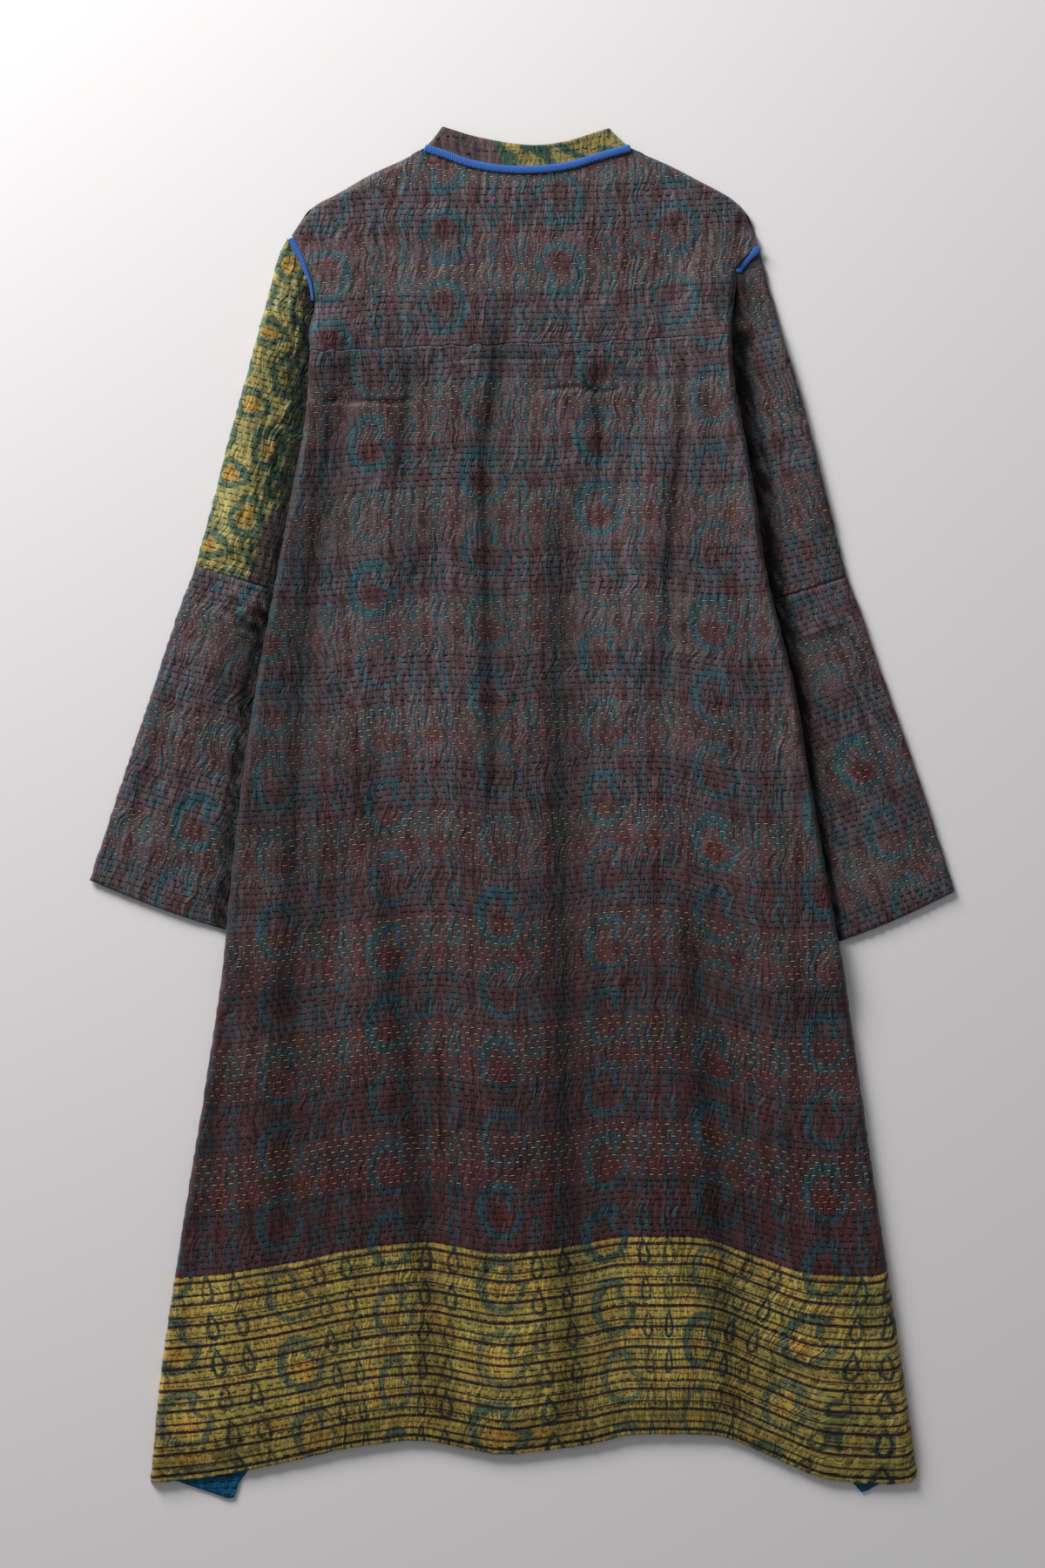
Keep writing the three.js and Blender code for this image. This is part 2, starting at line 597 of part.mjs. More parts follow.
function makeSleeve(prefix, sleeve, armholeRows, upperMaterial) {
  const { side, seamOuter, seamInner, cuffInner, cuffBow } = sleeve;
  const outerEdge = follow(sleeve.outer, 'y', 'x');
  const rows = [...sleeve.outer].sort((a, b) => a.y - b.y);
  const [cuffOuter, shoulder] = [rows[0], rows[rows.length - 1]];
  const underarm = armholeRows[0];
  const line = (a, b, down) => (t) => [mix(a.x, b.x, t), mix(a.y, b.y, t) - down];
  const outer = (from, to) => (t) => { const y = mix(from, to, t); return [outerEdge(y), y]; };
  const armholeX = follow(armholeRows, 'y', 'x');
  const armhole = (t) => { const y = mix(shoulder.y, underarm.y, t); return [armholeX(y), y]; };
  const cuff = (t) => {
    const [x, y] = line(cuffOuter, cuffInner, 0)(t);
    return [x, y - cuffBow * Math.sin(Math.PI * t)];
  };
  const upper = [
    line(seamOuter, seamInner, 0), armhole, outer(seamOuter.y, shoulder.y), line(seamInner, underarm, 0),
  ];
  const lowerTop = line(seamOuter, seamInner, SEAM);
  const lowerInner = line(cuffInner, seamInner, 0);
  const lower = [cuff, lowerTop, outer(cuffOuter.y, seamOuter.y - SEAM), (t) => {
    const [x, y] = lowerInner(t);
    return [x, y - SEAM * t];
  }];
  const shape = (edges) => {
    const plan = patch(...edges);
    return side < 0 ? plan : (u, v) => plan(1 - u, v);
  };
  return [
    tube(sleevePiece(`${prefix}_upper`, shape(upper), upperMaterial)),
    tube(sleevePiece(`${prefix}_lower`, shape(lower), MAROON)),
  ];
}

// The stand collar: one band that folds round at each end of the back neck and meets at the front
function makeCollar() {
  const { wall: thick, frontMiddle, backMiddle, height } = COLLAR;
  const centre = (frontMiddle + backMiddle) / 2;
  const halfStack = (backMiddle - frontMiddle) / 2;
  const topY = follow(COLLAR_TOP, 'x', 'y');
  const topLean = { left: COLLAR_TOP[0].x, right: COLLAR_TOP[COLLAR_TOP.length - 1].x };
  const rows = [0, 0.35, 0.7, 1];
  const foldSteps = [0, 0.5, 1.6, 4];
  const frontSteps = [0.05, 0.12, 0.22, 0.4, 0.6, 0.8, 1];
  // skin is 1 on the outside of the band and -1 on the inside
  const band = (skin) => rows.map((w) => {
    const inwards = skin > 0 ? 0 : thick;
    const left = mix(NECK.left, topLean.left, w) + inwards;
    const right = mix(NECK.right, topLean.right, w) - inwards;
    const halfHeight = halfStack + (skin * thick) / 2;
    const reach = skin > 0 ? 4 : 2;
    const back = spread(24, right - left, true, true, foldSteps).map((u) => {
      const x = mix(left, right, u);
      const fromFold = Math.min(x - left, right - x);
      const y = mix(backNeck(x) + 2 * SEAM, topY(x), w);
      return [x, y, centre + halfHeight * round(fromFold, reach)];
    });
    const front = (side) => frontSteps.map((t) => {
      const start = side < 0 ? left : right;
      const x = mix(start, side * CENTRE_GAP, t);
      const foldY = mix(backNeck(start) + 2 * SEAM, topY(start), w);
      const drop = (FRONT_NECK_DEPTH - (w * height) / 8) * Math.sin((t * Math.PI) / 2);
      return [x, foldY + mix(0, w * 6, t) - drop, centre - halfHeight * round(Math.abs(x - start), reach)];
    });
    return [...front(-1).reverse(), ...back, ...front(1)];
  });
  return wall('collar', band(1), band(-1), OLIVE);
}

// A flat cord sewn along a line of points; width and height may change along it
function cord(name, path, width, height) {
  const corners = 8;
  const points = [];
  const rings = path.map(([x, y, z], k) => {
    const [before, after] = [path[Math.max(0, k - 1)], path[Math.min(path.length - 1, k + 1)]];
    const length = Math.hypot(after[0] - before[0], after[1] - before[1]);
    const [nx, ny] = [(after[1] - before[1]) / length, -(after[0] - before[0]) / length];
    const half = width(k / (path.length - 1)) / 2;
    return Array.from({ length: corners }, (_, i) => {
      const turn = (2 * Math.PI * i) / corners + Math.PI / corners;
      const [flat, up] = [half * Math.cos(turn) * 1.08, (height / 2) * Math.sin(turn) * 1.08];
      return points.push([x + nx * flat, y + ny * flat, z + up]) - 1;
    });
  });
  const closedRings = rings.map((ring) => [...ring, ring[0]]);
  const faces = gridFaces(closedRings).map(([a, b, c]) => [a, c, b]);
  const cap = (ring) => ring.slice(2).map((corner, i) => [ring[0], ring[i + 1], corner]);
  faces.push(...cap(rings[0]));
  faces.push(...cap(rings[rings.length - 1]).map(([a, b, c]) => [a, c, b]));
  return solid(name, points, faces, COBALT);
}

const PIPING = { width: 6.4, neckHeight: 2.4, armholeHeight: 1.8 };
function makePipings() {
  const neckTop = FRONT_WALL + REST + WALL + LOFT.neck;
  const neckZ = neckTop + SEAM + PIPING.neckHeight / 2;
  const neckSeam = across(BACK_NECK, NECK.left + 0.5, NECK.right - 0.5);
  const neckPath = sample(neckSeam, 30).map(([x, y]) => [x, y + SEAM, neckZ]);
  // The armhole cords lie on the ends of the sleeves, beside the edge of the yoke
  const armholeZ = SLEEVE_HEIGHT + 2 * SEAM + PIPING.armholeHeight / 2;
  const outwards = PIPING.width / 2 + 0.1;
  const armholePath = (rows, side, from, to) => {
    const edge = sample(upward(rows, 'x', from, to), 9);
    return edge.map(([x, y], k) => {
      const [a, b] = [edge[Math.max(0, k - 1)], edge[Math.min(edge.length - 1, k + 1)]];
      const [dx, dy] = [Math.abs(b[0] - a[0]), Math.abs(b[1] - a[1])];
      const length = Math.hypot(dx, dy);
      return [x + (side * outwards * dy) / length, y - (outwards * dx) / length, armholeZ];
    });
  };
  const thinEnd = (t) => PIPING.width * (1 - 0.55 * smooth((t - 0.6) / 0.4));
  return [
    cord('neck_piping', neckPath, () => PIPING.width, PIPING.neckHeight),
    cord('armhole_piping_left', armholePath(LEFT_ARMHOLE, -1, 1096, 1044), thinEnd, PIPING.armholeHeight),
    cord('armhole_piping_right', armholePath(RIGHT_ARMHOLE, 1, 1087, 1069), thinEnd, PIPING.armholeHeight),
  ];
}

const coat = new THREE.Group();
coat.add(...makeBack());
coat.add(makeFront('front_left', 'left', FRONT_HEM_LEFT), makeFront('front_right', 'right', FRONT_HEM_RIGHT));
coat.add(...makeSleeve('sleeve_left', LEFT_SLEEVE, LEFT_ARMHOLE, OLIVE));
coat.add(...makeSleeve('sleeve_right', RIGHT_SLEEVE, RIGHT_ARMHOLE, MAROON));
coat.add(makeCollar());
coat.add(...makePipings());

// The origin is the middle of the coat's box, on the table
const box = new THREE.Box3().setFromObject(coat);
coat.position.set(-(box.min.x + box.max.x) / 2, -(box.min.y + box.max.y) / 2, -box.min.z);
coat.updateMatrixWorld(true);

export default coat;
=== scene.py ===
import bpy
import numpy as np
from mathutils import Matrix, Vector


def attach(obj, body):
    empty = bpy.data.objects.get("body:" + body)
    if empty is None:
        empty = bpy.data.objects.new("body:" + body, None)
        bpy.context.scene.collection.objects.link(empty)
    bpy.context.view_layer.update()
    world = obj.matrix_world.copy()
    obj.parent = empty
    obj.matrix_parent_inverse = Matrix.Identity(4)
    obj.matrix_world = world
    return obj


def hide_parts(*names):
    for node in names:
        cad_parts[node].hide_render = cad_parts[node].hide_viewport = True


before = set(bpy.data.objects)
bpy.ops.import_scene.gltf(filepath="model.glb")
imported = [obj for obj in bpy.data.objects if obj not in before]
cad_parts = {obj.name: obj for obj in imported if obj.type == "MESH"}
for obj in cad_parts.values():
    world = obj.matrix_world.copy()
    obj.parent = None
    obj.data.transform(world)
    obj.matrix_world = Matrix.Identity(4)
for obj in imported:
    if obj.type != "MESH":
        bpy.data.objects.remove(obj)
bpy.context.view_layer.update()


# Sleeves
# Each is a tube of quilted silk, cut in two lengths and seamed across below the elbow. They lie flat
# on the table, folded along both edges, and their armhole ends are tucked under the body.
# The tables here and below are in millimetres, X across the coat and Y from hem to collar.
MM = 0.001
CENTRE = (0.25, -591.25)  # takes the tables to the frame, whose origin is the middle of the coat
STITCH_ROW = 5.5  # from one row of running stitch to the next
STITCH = 7.6  # from one stitch to the next along a row
THREAD_WIDTH, DARK_WIDTH = 0.74, 0.84  # of bright and of dark threads
ROW_SHIFT = 0.618  # share of a stitch by which each row is out of step with the last

# Left and right edge of the body, which covers the inner part of each sleeve: y, left, right
BODY_EDGES = [
    (-1, -329, 350), (92, -320, 337), (216, -302, 318), (339, -282, 300), (462, -264, 282),
    (534, -257, 269), (613, -248, 255), (703, -235, 240), (801, -217, 216), (868, -205, 206),
    (937, -192, 194), (982, -188.5, 186), (1016, -188, 185),
]
# Folded outer edge of each sleeve from cuff to shoulder: y, x
LEFT_OUTER = [
    (531, -382.5), (624, -352), (726, -318), (773, -302.5), (809, -289), (935, -255.5), (1020, -232),
    (1082, -215.5), (1098, -207.5),
]
RIGHT_OUTER = [
    (521, 382), (624, 349), (726, 313), (773, 297), (799, 286.5), (850, 274), (943, 250.5),
    (1043, 221), (1089, 209),
]
# Armhole end of each sleeve, from the underarm up to the shoulder: y, x
LEFT_ARMHOLE = [
    (855, -130), (930, -158), (1000, -176), (1040, -184.3), (1056, -185.5), (1070, -190.2),
    (1085, -197), (1098, -207.5),
]
RIGHT_ARMHOLE = [
    (850, 133), (930, 160), (1000, 178), (1040, 188), (1056, 189), (1070, 190.5), (1080, 199),
    (1089, 209),
]
# Soft folds along the sleeves: height, half width, from x, y, to x, y
SLEEVE_FOLDS = [
    (5.0, 15, -226, 1020, -256, 830), (2.6, 14, -262, 760, -322, 560), (1.6, 10, -318, 700, -352, 590),
    (2.0, 12, 232, 1010, 264, 850), (2.6, 14, 272, 760, 330, 560), (1.6, 10, 318, 680, 350, 580),
    (-1.8, 13, -190, 1000, -217, 800), (-1.6, 12, -222, 780, -272, 500),
    (-1.8, 13, 192, 1000, 217, 800), (-1.6, 12, 222, 770, 278, 490),
    (3.2, 5, -254, 783, -230, 769), (2.6, 4, -247, 751, -231, 741), (2.8, 4, -238, 757, -243, 768),
    (1.8, 5, 252, 748, 276, 756),
]
SLEEVE_HEIGHT = 4.9  # of the flat of a sleeve above the table
SLEEVE_ROLL = 3.0  # how far in from its folded edges it reaches that height
SLEEVE_HOLLOW = (1.8, 3.0)  # underside and top of the thin space inside
SLEEVE_WALL = 2.2  # from a folded edge in to that space
SLEEVE_RIPPLES = 1.15  # height of its ripples, as a share of those of the body
SLEEVE_SCALLOP = 0.55  # how far its folded edges waver
CUFF_BOW = 4  # how far the middle of a cuff hangs below its ends


def smooth(t):
    """Eases from 0 to 1: 3t squared less 2t cubed, held at its ends."""
    t = np.clip(t, 0, 1)
    return t * t * (3 - 2 * t)


def mix(a, b, t):
    """The value a share t of the way from a to b."""
    return a + (b - a) * t


def follow(rows, column=1):
    """Smooth curve through a table, from its first column to another one.

    Between two rows it is a cubic, with the slope at each row that leads from the row before it to the
    row after it.
    """
    table = np.array(sorted(rows), float)
    keys, values = table[:, 0], table[:, column]
    last = len(keys) - 1
    before, after = np.maximum(np.arange(last + 1) - 1, 0), np.minimum(np.arange(last + 1) + 1, last)
    slopes = (values[after] - values[before]) / (keys[after] - keys[before])

    def curve(q):
        q = np.asarray(q, float)
        i = np.clip(np.searchsorted(keys, q, side="right") - 1, 0, last - 1)
        span = keys[i + 1] - keys[i]
        t = np.clip((q - keys[i]) / span, 0, 1)
        bend = (1 - t) * t * span * ((1 - t) * slopes[i] - t * slopes[i + 1])
        return mix(values[i], values[i + 1], t * t * (3 - 2 * t)) + bend

    return curve


def straight(a, b):
    """Straight boundary from point a to point b."""
    return lambda t: np.array([mix(a[0], b[0], t), mix(a[1], b[1], t)])


def side_boundary(curve, start, end):
    """Boundary from one y to another, whose x is read from a curve."""
    return lambda t: np.array([curve(mix(start, end, t)), mix(start, end, t)])


def end_boundary(curve, start, end):
    """Boundary from one x to another, whose y is read from a curve."""
    return lambda t: np.array([mix(start, end, t), curve(mix(start, end, t))])


def patch(bottom, top, left, right):
    """Four-sided sheet: the blend of its ends up it, plus that of its sides across it, less the corners'."""

    def plan(u, v):
        zero, one = np.zeros_like(u), np.ones_like(u)
        ends = mix(bottom(u), top(u), v) + mix(left(v), right(v), u)
        low = mix(bottom(zero), bottom(one), u)
        high = mix(top(zero), top(one), u)
        return ends - mix(low, high, v)

    return plan


def distance_to(line, x, y):
    """Shortest distance from each point to a line of points, taken over its straight stretches."""
    best = np.full(np.shape(x), np.inf)
    for (ax, ay), (bx, by) in zip(line[:-1], line[1:]):
        dx, dy = bx - ax, by - ay
        t = np.clip(((x - ax) * dx + (y - ay) * dy) / (dx * dx + dy * dy), 0, 1)
        best = np.minimum(best, np.hypot(x - ax - t * dx, y - ay - t * dy))
    return best


def inside(outline, x, y):
    """Which points lie inside a closed outline: those with an odd number of its edges to their right."""
    odd = np.zeros(np.shape(x), bool)
    for (ax, ay), (bx, by) in zip(outline, np.roll(outline, -1, axis=0)):
        if ay != by:
            odd ^= ((ay > y) != (by > y)) & (x < ax + (y - ay) * (bx - ax) / (by - ay))
    return odd


def rounded(distance, reach):
    """Quarter circle: 0 at the edge, 1 from reach inwards."""
    return np.sqrt(1 - (1 - np.clip(distance / reach, 0, 1)) ** 2)


LATTICE = 128  # cells each way before the noise below repeats


def noise(x, y, size, seed):
    """Smooth noise from -1 to 1: random values on a lattice of that size, eased from one to the next."""
    lattice = np.random.default_rng(seed).uniform(-1, 1, (LATTICE, LATTICE))
    gx, gy = x / size[0], y / size[1]
    i, j = np.floor(gx).astype(int), np.floor(gy).astype(int)
    s, t = smooth(gx - i), smooth(gy - j)

    def at(p, q):
        return lattice[p % LATTICE, q % LATTICE]

    return mix(mix(at(i, j), at(i + 1, j), s), mix(at(i, j + 1), at(i + 1, j + 1), s), t)


def ripples(across, along, seed):
    """Height of the ripples that stand up between stitches, for places on the cloth.

    A wave across the cloth every 9 mm wanders as it runs along, swells and dies away. Short bumps and
    a slow slackness are added to it.
    """
    wander = 0.8 * noise(across, along, (45, 60), seed) + 0.33 * noise(across, along, (17, 24), seed + 1)
    turns = across / 9.0 + wander
    wave = np.cos(2 * np.pi * turns) + 0.3 * np.cos(4 * np.pi * turns + 1)
    swell = 0.62 + 0.38 * noise(across, along, (32, 30), seed + 2)
    bumps = noise(across, along, (5.5, 9), seed + 3)
    slack = noise(across, along, (85, 120), seed + 4)
    return 0.36 * swell * wave + 0.16 * bumps + 0.5 * slack


def stitch_grid(across, along, seed):
    """Stitch number and row number at places on the cloth. Hand stitching drifts a little both ways."""
    number = across / STITCH + 0.5 * noise(across, along, (60, 14), seed + 5)
    row = along / STITCH_ROW + 0.3 * noise(across, along, (48, 130), seed + 6)
    return number, row


def near_ends(t, reach):
    """1 at both ends of the stretch from 0 to 1, falling away from each as an exponential."""
    return np.exp(-np.minimum(t, 1 - t) / reach)


def places(count, spacing):
    """Positions from 0 to 1 in count steps, each step in proportion to spacing at its place."""
    fine = np.linspace(0, 1, 4001)
    total = np.concatenate([[0], np.cumsum(1 / spacing((fine[1:] + fine[:-1]) / 2))])
    return np.interp(np.linspace(0, total[-1], count + 1), total, fine)


def joined_edges(fine, coarse, every):
    """Triangles between a fine edge and a coarse one that has a point for every few of its points."""
    i = np.arange(len(fine) - 1)
    fans = np.stack([fine[i], coarse[(i + every // 2) // every], fine[i + 1]], 1)
    j = np.arange(len(coarse) - 1)
    bridges = np.stack([coarse[j], coarse[j + 1], fine[j * every + every // 2]], 1)
    return np.concatenate([fans, bridges])


def grid_quads(numbers):
    """Four-sided faces over a grid of point numbers."""
    corners = [numbers[:-1, :-1], numbers[:-1, 1:], numbers[1:, 1:], numbers[1:, :-1]]
    return np.stack([c.ravel() for c in corners], 1)


def new_piece(name, points, faces, material, layers):
    """Mesh object from points in millimetres and lists of faces; layers hold two numbers a point each."""
    mesh = bpy.data.meshes.new(name)
    placed = (points + np.array([*CENTRE, 0])) * MM
    mesh.from_pydata(placed.tolist(), [], [face for group in faces for face in group.tolist()])
    corner = np.zeros(len(mesh.loops), np.int32)
    mesh.loops.foreach_get("vertex_index", corner)
    for title, values in layers.items():
        layer = mesh.uv_layers.new(name=title)
        layer.data.foreach_set("uv", values[corner].astype(np.float32).ravel())
    mesh.polygons.foreach_set("use_smooth", np.ones(len(mesh.polygons), bool))
    mesh.materials.append(material)
    piece = bpy.data.objects.new(name, mesh)
    bpy.context.scene.collection.objects.link(piece)
    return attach(piece, "root")


EVERY = 4  # an underside has one point for every four of the outside, each way


def unshaded(x, y):
    """No shade is painted on any part of the piece."""
    return np.zeros(np.shape(x))


def cloth_layers(cloth, grid, shade, x, y):
    """What the finish of a cloth reads: its own place in metres, its stitch grid, and its painted shade."""
    painted_shade = shade(x, y)
    return {
        "cloth": np.stack(cloth(x, y), -1) * MM, "stitching": np.stack(grid(x, y), -1),
        "shade": np.stack([painted_shade, painted_shade], -1),
    }


def shell_piece(name, outer, inner, material, cloth, grid, shade=unshaded, around=False):
    """Closed wall between a fine grid of outside points and a coarse one of inside points.

    Around means that each row of both grids is a ring, so the wall is a tube and has no side edges.
    """
    (n, columns), (m, inner_columns) = outer.shape[:2], inner.shape[:2]
    outside = np.arange(n * columns).reshape(n, columns)
    within = n * columns + np.arange(m * inner_columns).reshape(m, inner_columns)
    if around:
        outside, within = (np.concatenate([g, g[:, :1]], 1) for g in (outside, within))
    faces = [grid_quads(outside), grid_quads(within)[:, ::-1]]
    faces.append(joined_edges(outside[0], within[0], EVERY))
    faces.append(joined_edges(outside[-1], within[-1], EVERY)[:, ::-1])
    if not around:
        faces.append(joined_edges(outside[:, 0], within[:, 0], EVERY)[:, ::-1])
        faces.append(joined_edges(outside[:, -1], within[:, -1], EVERY))
    points = np.concatenate([outer.reshape(-1, 3), inner.reshape(-1, 3)])
    layers = cloth_layers(cloth, grid, shade, points[:, 0], points[:, 1])
    return new_piece(name, points, faces, material, layers)


class Field:
    """A number that changes over a surface. Each sum or product of fields is one Math node."""

    def __init__(self, tree, socket):
        self.tree, self.socket = tree, socket

    def math(self, operation, *others, clamp=False):
        node = self.tree.nodes.new("ShaderNodeMath")
        node.operation, node.use_clamp = operation, clamp
        for socket, value in zip(node.inputs, (self, *others)):
            if isinstance(value, Field):
                self.tree.links.new(value.socket, socket)
            else:
                socket.default_value = value
        return Field(self.tree, node.outputs[0])

    def __add__(self, other):
        return self.math("ADD", other)

    def __sub__(self, other):
        return self.math("SUBTRACT", other)

    def __mul__(self, other):
        return self.math("MULTIPLY", other)

    def __truediv__(self, other):
        return self.math("DIVIDE", other)

    def size(self):
        return self.math("ABSOLUTE")

    def floor(self):
        return self.math("FLOOR")

    def nearest(self):
        return (self + 0.5).floor()

    def off_nearest(self):
        return self - self.nearest()

    def clamped(self):
        return self.math("ADD", 0, clamp=True)


def fields(tree, vector, scale=1.0):
    """The first two parts of a vector, as fields."""
    node = tree.nodes.new("ShaderNodeSeparateXYZ")
    tree.links.new(vector, node.inputs[0])
    return [Field(tree, socket) * scale for socket in node.outputs[:2]]


def grain(x, y, wide, tall, seed, detail=2.0):
    """Noise texture about zero, between -0.5 and 0.5, stretched to that width and height."""
    join = x.tree.nodes.new("ShaderNodeCombineXYZ")
    x.tree.links.new((x / wide).socket, join.inputs[0])
    x.tree.links.new((y / tall).socket, join.inputs[1])
    join.inputs[2].default_value = seed
    node = x.tree.nodes.new("ShaderNodeTexNoise")
    node.inputs["Scale"].default_value = 1.0
    node.inputs["Detail"].default_value = detail
    x.tree.links.new(join.outputs[0], node.inputs["Vector"])
    return Field(x.tree, node.outputs["Fac"]) - 0.5


def chance(column, row):
    """A random number from 0 to 1 for each cell of a repeat."""
    join = column.tree.nodes.new("ShaderNodeCombineXYZ")
    column.tree.links.new(column.socket, join.inputs[0])
    column.tree.links.new(row.socket, join.inputs[1])
    node = column.tree.nodes.new("ShaderNodeTexWhiteNoise")
    node.noise_dimensions = "2D"
    column.tree.links.new(join.outputs[0], node.inputs["Vector"])
    return Field(column.tree, node.outputs["Value"])


def filled(depth, soft):
    """1 where depth inside a shape is above zero, fading over soft at its edge."""
    return depth.math("MULTIPLY_ADD", 1 / soft, 0.5, clamp=True)


def stroke(distance, half, soft):
    """1 within half of a line, from the distance to it, fading over soft at both edges."""
    return filled(distance.size() * -1 + half, soft)


def node_group(name, vector, outputs, scale=1.0):
    """New shader group that reads a vector and gives values: its tree, and the vector's first two parts."""
    tree = bpy.data.node_groups.new(name, "ShaderNodeTree")
    tree.interface.new_socket(vector, in_out="INPUT", socket_type="NodeSocketVector")
    for title in outputs:
        tree.interface.new_socket(title, in_out="OUTPUT", socket_type="NodeSocketFloat")
    return tree, *fields(tree, tree.nodes.new("NodeGroupInput").outputs[0], scale)


def give(tree, **values):
    """Wires the outputs of a shader group, by their names."""
    ends = tree.nodes.new("NodeGroupOutput").inputs
    for title, value in values.items():
        tree.links.new(value.socket, ends[title])
    return tree


def length_of(x, y):
    """Root of the sum of two squares."""
    return (x.math("POWER", 2) + y.math("POWER", 2)).math("SQRT")


def weave_group():
    """Slubbed silk: uneven weft threads across, fainter warp streaks along, and slow patches of wear."""
    tree, across, along = node_group("slubbed silk", "Cloth", ("Shade", "Weft", "Height"), 1 / MM)
    weft = grain(across, along, 9, 0.9, 1.0)
    slub = grain(across, along, 26, 1.7, 2.0)
    warp = grain(across, along, 0.9, 16, 3.0)
    patches = grain(across, along, 46, 60, 4.0)
    return give(
        tree,
        Shade=weft * 1.1 + slub * 0.6 + warp * 0.9 + patches * 0.6 + 1,
        Weft=slub.math("MULTIPLY_ADD", 3.4, 0.35, clamp=True),
        Height=weft * 0.12 + warp * 0.1 + slub * 0.08,
    )


def quilting_group():
    """Puckers that run up the cloth between stitch rows, and the dips that the stitches pull into it.

    The puckers are the size of a stretched noise, so they have round tops and sharp creases between.
    Low swells, thin streaks and long folds run the same way. Each stitch ends in a hole. Shade is
    painted shade: darker in the creases, in the dips under the stitches and in the holes, and lighter
    and darker over the swells, streaks and long folds.
    """
    tree, number, row = node_group("quilting rows", "Grid", ("Height", "Shade"))
    nearest_row = row.nearest()
    off_row = (row - nearest_row) * STITCH_ROW
    step = number - nearest_row * ROW_SHIFT
    along = step.off_nearest() * STITCH
    under = stroke(along, 1.9, 1.8) * filled(off_row.size() * -1 + 1.0, 2.4)
    holes = stroke(along.size() - 2.2, 0.6, 0.8) * stroke(off_row, 0.6, 0.8)
    x, y = number * STITCH, row * STITCH_ROW
    x = x + grain(x, y, 30, 38, 6.0) * 16 + grain(x, y, 9, 15, 7.0) * 3
    swell = grain(x, y, 60, 44, 8.0) * 1.5 + 0.8
    pucker = grain(x, y, 5.8, 32, 9.0, 1.2).size()
    crease = filled(pucker * -1 + 0.02, 0.045)
    low = grain(x, y, 17, 30, 10.0, 1.0)
    streak = grain(x, y, 2.3, 34, 18.0, 1.0)
    long = grain(x, y, 7, 120, 19.0, 1.0)
    puckers = (pucker * 3.4 - crease * 0.22) * swell + low * 2.0 + streak * 0.6 + long * 1.4
    # painted shade in the creases, in the dips under the stitches and in the holes; the Shade below also
    # paints light and shade over the swells, streaks and long folds
    dark = crease * swell * 0.5 + under * 0.06 + holes * 0.6
    return give(
        tree, Height=puckers - under * 0.18 - holes * 0.3, Shade=low * 0.6 + streak + long * 0.7 - dark + 1
    )


def teardrop(x, y, low, high, wide):
    """Depth inside a teardrop with a round foot at low and its tip at high, on the upright axis."""
    t = ((y - low) / (high - low)).clamped()
    width = t.math("SQRT") * (t * -1 + 1).math("POWER", 1.15) * (wide * 2.72)
    return width - x.size() - 0.4


def motif_group():
    """The main print: columns of hooked rings with a spot inside, and two columns of drops between them.

    Each ring and its spot is printed more or less strongly, by chance. Blush is a stain between the drops.
    """
    outputs = ("Ring", "Drop", "Spot", "Blush")
    tree, across, along = node_group("ring and drop print", "Cloth", outputs, 1 / MM)
    pitch, drop_pitch, first_ring = 98.0, 33.1, 219.0
    ring_wide, ring_tall = 18.2, 22.5  # half sizes of a ring
    between, drop_apart, stain_apart = 43, 12, 14  # middle of the two columns, and how far each is from it
    ragged = grain(across, along, 2.6, 1.3, 11.0)
    across = across + grain(across, along, 16, 16, 12.0) * 5 + ragged * 2.2
    along = along + grain(across, along, 18, 14, 13.0) * 5 + ragged * 1.6
    column = (across / pitch).nearest()
    level = (along - first_ring) / (2 * drop_pitch) + column * 0.5
    row = level.nearest()
    luck = chance(column, row)
    x = across - column * pitch + (luck - 0.5) * 4
    y = (level - row) * (2 * drop_pitch)
    reach = length_of(x / ring_wide, y / ring_tall)
    thick = luck * 0.9 + 3.1
    ring = filled(((reach - 1) * 20).size() * -1 + thick + y * 0.03 - x * 0.04, 1.6)
    bend = ((y * -1 + 8) / 8).clamped()
    off_bar = x - 6.5 - bend * bend * 10
    bar = stroke(off_bar, 2.9, 1.4) * filled(y + 1, 2) * filled(reach * -21 + 22, 2)
    mouth = filled(off_bar - 3.5, 2) * filled(y - 2, 3) * filled(y * -1 + 19, 4) * 0.85
    spot = filled(length_of(x + 1, y + 6) * -1 + 9.5 + ragged * 6, 5) * (luck * 0.75 + 0.3).clamped()
    cell = across - (across / pitch).floor() * pitch
    drop_level = (along - first_ring + drop_pitch / 2) / drop_pitch
    up = drop_level.off_nearest() * drop_pitch
    side = (cell - between).size() - drop_apart
    drop = filled(teardrop(side, up, -14.0, 14.5, 6.3), 1.2)
    drop = drop - filled(teardrop(side, up, -10.5, 8.5, 3.3), 1.2)
    stain_up = (drop_level + 0.5).off_nearest() * drop_pitch
    stain_side = ((cell - between).size() - stain_apart).size() - stain_apart
    stain = filled(teardrop(stain_side, stain_up, -12.0, 12.0, 5.0), 3.0)
    worn = grain(across, along, 5, 3, 14.0) * 1.6 + grain(across, along, 1.5, 0.9, 15.0) * 2.0
    worn = worn + luck * 0.4 + 0.66
    smudge = filled(grain(across, along, 9, 7, 16.0) - 0.1, 0.12) * stroke((reach - 1.15) * 20, 6, 5) * 0.6
    ring = (ring * (mouth * -1 + 1)).math("MAXIMUM", bar).math("MAXIMUM", smudge)
    return give(
        tree, Ring=(ring * worn).clamped(), Drop=(drop.clamped() * worn).clamped(), Spot=spot,
        Blush=(stain * (ragged * 1.5 + 0.65)).clamped(),
    )


